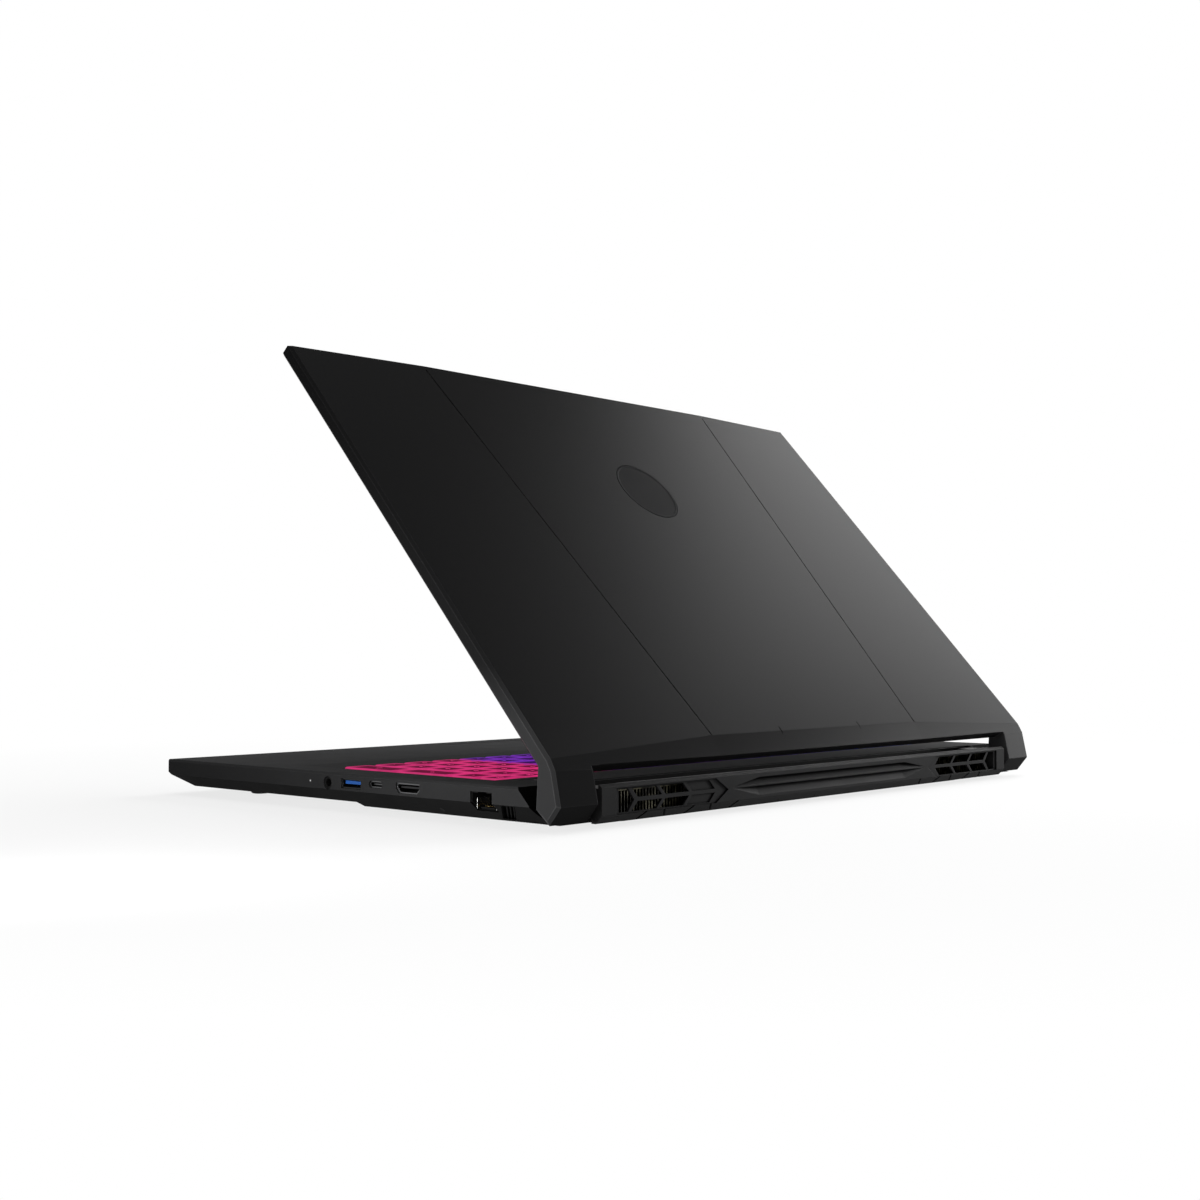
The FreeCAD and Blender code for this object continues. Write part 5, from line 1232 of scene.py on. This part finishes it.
@dataclass
class Lid(SubAssembly):
    """Lid cover, badge disc, bezel, screen and webcam."""

    badge_thick: float = 0.6
    badge_rim: float = 1.1
    badge_step: float = 0.12
    badge_chamfer: float = 0.25
    badge_slope: float = 0.15
    badge_sides: int = 96
    bumper_sides: int = 32
    bumper_height: float = 0.24
    dome: tuple[tuple[float, float], ...] = ((0.0, -1.0), (1.0, -1.0), (0.95, 0.2), (0.8, 0.7), (0.45, 1.0),
                                             (0.0, 1.0))
    camera_ring: tuple[float, float] = (1.55, 2.3)
    light_x: float = 8.0
    light_radius: float = 0.6
    holes_x: float = 22.0
    hole_radius: float = 0.45
    proud: float = 0.05
    ring_chamfer: float = 0.2
    spot_share: float = 0.8
    ring_sides: int = 32
    spot_sides: int = 20
    face_half_width: float = 5.0
    face_reach: float = 8.0

    def badge(self, place: LidPlace) -> None:
        """A plain disc with a stepped, bevelled rim.

        Args:
            place: Where the lid is.
        """
        low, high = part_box("lid_badge")
        radius = (high.x - low.x) / 2.0 / MM
        half = self.badge_thick / 2.0
        rim = radius - self.badge_rim
        floor = half - self.badge_step
        disc = Shape()
        disc.turned([(0.0, -half), (radius, -half), (radius, half - self.badge_chamfer),
                     (radius - self.badge_chamfer, half), (rim, half), (rim - self.badge_slope, floor),
                     (0.0, floor)], self.badge_sides)
        shape = Shape()
        shape.take(disc, place.at((low + high) / 2.0))
        shape.piece("lid_badge_disc", "lid", [BADGE_SATIN], ["lid_badge"])

    def bumpers(self, place: LidPlace) -> None:
        """Domed rubber bumpers on the bezel.

        Args:
            place: Where the lid is.
        """
        shape = Shape()
        for low, high in solids_of("bezel_bumpers"):
            radius = (high.x - low.x) / 2.0 / MM
            half = self.bumper_height / 2.0
            dome = Shape()
            outline = [(radius * across, half * rise) for across, rise in self.dome]
            dome.turned(outline, self.bumper_sides)
            shape.take(dome, place.at((low + high) / 2.0, True))
        shape.piece("bezel_bumpers_domed", "lid", [RUBBER], ["bezel_bumpers"])

    def camera_details(self, place: LidPlace) -> None:
        """A ring round the webcam, its light and a pair of sound holes.

        Args:
            place: Where the lid is.
        """
        low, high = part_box("webcam_lens")
        middle = (low + high) / 2.0
        out = place.turn() @ DOWN
        depth = max((vert.co - middle).dot(out) for vert in frame["nodes"]["screen_bezel"].data.vertices
                    if abs(vert.co.x) < self.face_half_width * MM
                    and (vert.co - middle).length < self.face_reach * MM)
        face = middle + out * depth
        inner, outer = self.camera_ring
        ring = Shape()
        ring.turned([(inner, 0.0), (outer, 0.0), (outer - self.ring_chamfer, self.proud),
                     (inner + self.ring_chamfer, self.proud), (inner, 0.0)], self.ring_sides)
        rim = Shape()
        rim.take(ring, place.at(face, True))
        rim.piece("webcam_ring", "lid", [INNER_BLACK])
        for name, x, radius, finish in (("webcam_light", self.light_x, self.light_radius, CAMERA_LIGHT),
                                        ("sound_hole_right", self.holes_x, self.hole_radius, SOCKET_BLACK),
                                        ("sound_hole_left", -self.holes_x, self.hole_radius, SOCKET_BLACK)):
            disc = Shape()
            disc.turned([(0.0, -self.proud), (radius, -self.proud), (radius, 0.0),
                         (radius * self.spot_share, self.proud / 2.0), (0.0, self.proud / 2.0)],
                        self.spot_sides)
            spot = Shape()
            spot.take(disc, place.at(face + Vector((x * MM, 0.0, 0.0)), True))
            spot.piece(name, "lid", [finish])

    def build(self) -> None:
        """Badge disc, bumpers and the webcam's details."""
        place = LidPlace()
        self.badge(place)
        self.bumpers(place)
        self.camera_details(place)

    def dress(self) -> None:
        """Matte black lid and bezel with dark glass."""
        dress(LID_COAT, "lid_cover")
        dress(BEZEL_BLACK, "screen_bezel")
        dress(INNER_BLACK, "webcam_module", "display_cable", "lid_antennas")
        dress(SCREEN_GLASS, "display_panel")
        dress(LENS_GLASS, "webcam_lens")


@dataclass(frozen=True)
class Lamp:
    """One soft light, with places and sizes in metres, and its fan in degrees."""

    name: str
    place: tuple[float, float, float]
    aim: tuple[float, float, float]
    size: tuple[float, float]
    watts: float
    fan: float = 180.0

    def build(self) -> None:
        """Put the light in its place, turned towards what it faces."""
        data = bpy.data.lights.new(self.name, "AREA")
        data.shape = "RECTANGLE"
        data.size, data.size_y = self.size
        data.energy = self.watts
        data.spread = math.radians(self.fan)
        light = bpy.data.objects.new(self.name, data)
        light.location = self.place
        turn = (Vector(self.aim) - Vector(self.place)).to_track_quat("-Z", "Y")
        light.rotation_euler = turn.to_euler()
        bpy.context.scene.collection.objects.link(light)


@dataclass
class Stage:
    """Floor, backdrop, lights and camera."""

    LAMPS = (
        Lamp("overhead", (0.0, 0.1, 1.6), (0.0, 0.0, 0.0), (1.6, 1.6), 22.0),
        Lamp("right_side", (0.47, 0.10, 0.04), (0.199, 0.10, 0.012), (0.1, 0.08), 0.31, 100.0),
        Lamp("far_side", (-1.75, -0.16, 0.71), (-0.1, 0.05, 0.12), (0.95, 1.35), 74.0),
        Lamp("far_rear", (-1.76, 0.83, 0.48), (-0.1, 0.13, 0.03), (0.6, 0.85), 62.0),
    )

    floor_radius: float = 12.0
    floor_sides: int = 64
    floor_tone: float = 0.5
    catch_radius: float = 0.55
    catch_depth: float = 0.22
    ambient: float = 0.25
    camera_place: tuple[float, float, float] = (651.1193, 559.534, 72.8372)
    camera_yaw: float = -138.32386
    camera_pitch: float = 1.80965
    lens: float = 47.294
    sensor: float = 36.0
    near_clip: float = 0.01

    def seen(self, graph: Graph) -> Socket:
        """One for rays from the camera, reflections and glass, and nothing for the rest.

        Args:
            graph: The graph that uses it.

        Returns:
            The mask.
        """
        rays = graph.add("LightPath").outputs
        mirror = graph.math("MAXIMUM", rays["Is Glossy Ray"], rays["Is Transmission Ray"])
        return graph.math("MAXIMUM", rays["Is Camera Ray"], mirror)

    def build_world(self) -> None:
        """A white backdrop that lights the object only a little."""
        world = bpy.data.worlds.new("white_backdrop")
        world.use_nodes = True
        bpy.context.scene.world = world
        graph = Graph(world.node_tree)
        strength = graph.spread(self.seen(graph), 0.0, 1.0, self.ambient, 1.0)
        shader = graph.add("Background", {"Color": WHITE, "Strength": strength})
        graph.add("OutputWorld", {"Surface": shader.outputs[0]})

    def build_floor(self) -> None:
        """A pale floor that is white to the camera and keeps the object's shadow."""
        mesh = bpy.data.meshes.new("floor")
        shape = bmesh.new()
        bmesh.ops.create_circle(shape, cap_ends=True, segments=self.floor_sides, radius=self.floor_radius)
        shape.to_mesh(mesh)
        shape.free()
        floor = bpy.data.objects.new("floor", mesh)
        bpy.context.scene.collection.objects.link(floor)
        material = bpy.data.materials.new("pale_floor")
        material.use_nodes = True
        graph = Graph(material.node_tree)
        distance = graph.add("VectorMath", {0: graph.place()}, operation="LENGTH").outputs["Value"]
        catch = graph.spread(distance, self.catch_radius, self.catch_radius / 2.0, 0.0, self.catch_depth)
        matte = graph.add("BsdfDiffuse", {"Color": rgba((self.floor_tone,) * 3)}).outputs[0]
        white = graph.add("Emission", {"Color": WHITE, "Strength": 1.0}).outputs[0]
        caught = graph.add("MixShader", {0: catch, 1: white, 2: matte}).outputs[0]
        shown = graph.add("MixShader", {0: self.seen(graph), 1: matte, 2: caught}).outputs[0]
        graph.add("OutputMaterial", {"Surface": shown})
        mesh.materials.append(material)

    def build_lights(self) -> None:
        """Soft light from above, from the right and from the far side."""
        for lamp in self.LAMPS:
            lamp.build()

    def build_camera(self) -> None:
        """The camera, low and behind the right rear corner."""
        data = bpy.data.cameras.new("camera")
        data.lens = self.lens
        data.sensor_width = self.sensor
        data.sensor_fit = "HORIZONTAL"
        data.clip_start = self.near_clip
        camera = bpy.data.objects.new("camera", data)
        yaw = math.radians(self.camera_yaw)
        pitch = math.radians(self.camera_pitch)
        look = Vector((math.cos(pitch) * math.cos(yaw), math.cos(pitch) * math.sin(yaw), math.sin(pitch)))
        camera.location = Vector(self.camera_place) * MM
        camera.rotation_euler = look.to_track_quat("-Z", "Y").to_euler()
        bpy.context.scene.collection.objects.link(camera)
        bpy.context.scene.camera = camera

    def build(self) -> None:
        """Set up the whole stage."""
        bpy.context.scene.view_settings.view_transform = "Standard"
        self.build_world()
        self.build_floor()
        self.build_lights()
        self.build_camera()


def main() -> None:
    """Build the looks."""
    logging.basicConfig(level=logging.INFO, format="%(message)s")
    Stage().build()
    assemblies = (BaseShells(), SidePorts(), Keyboard(), DeckControls(), Insides(), HingesAndFeet(), Lid())
    for assembly in assemblies:
        assembly.dress()
        assembly.build()


if __name__ == "__main__":
    main()
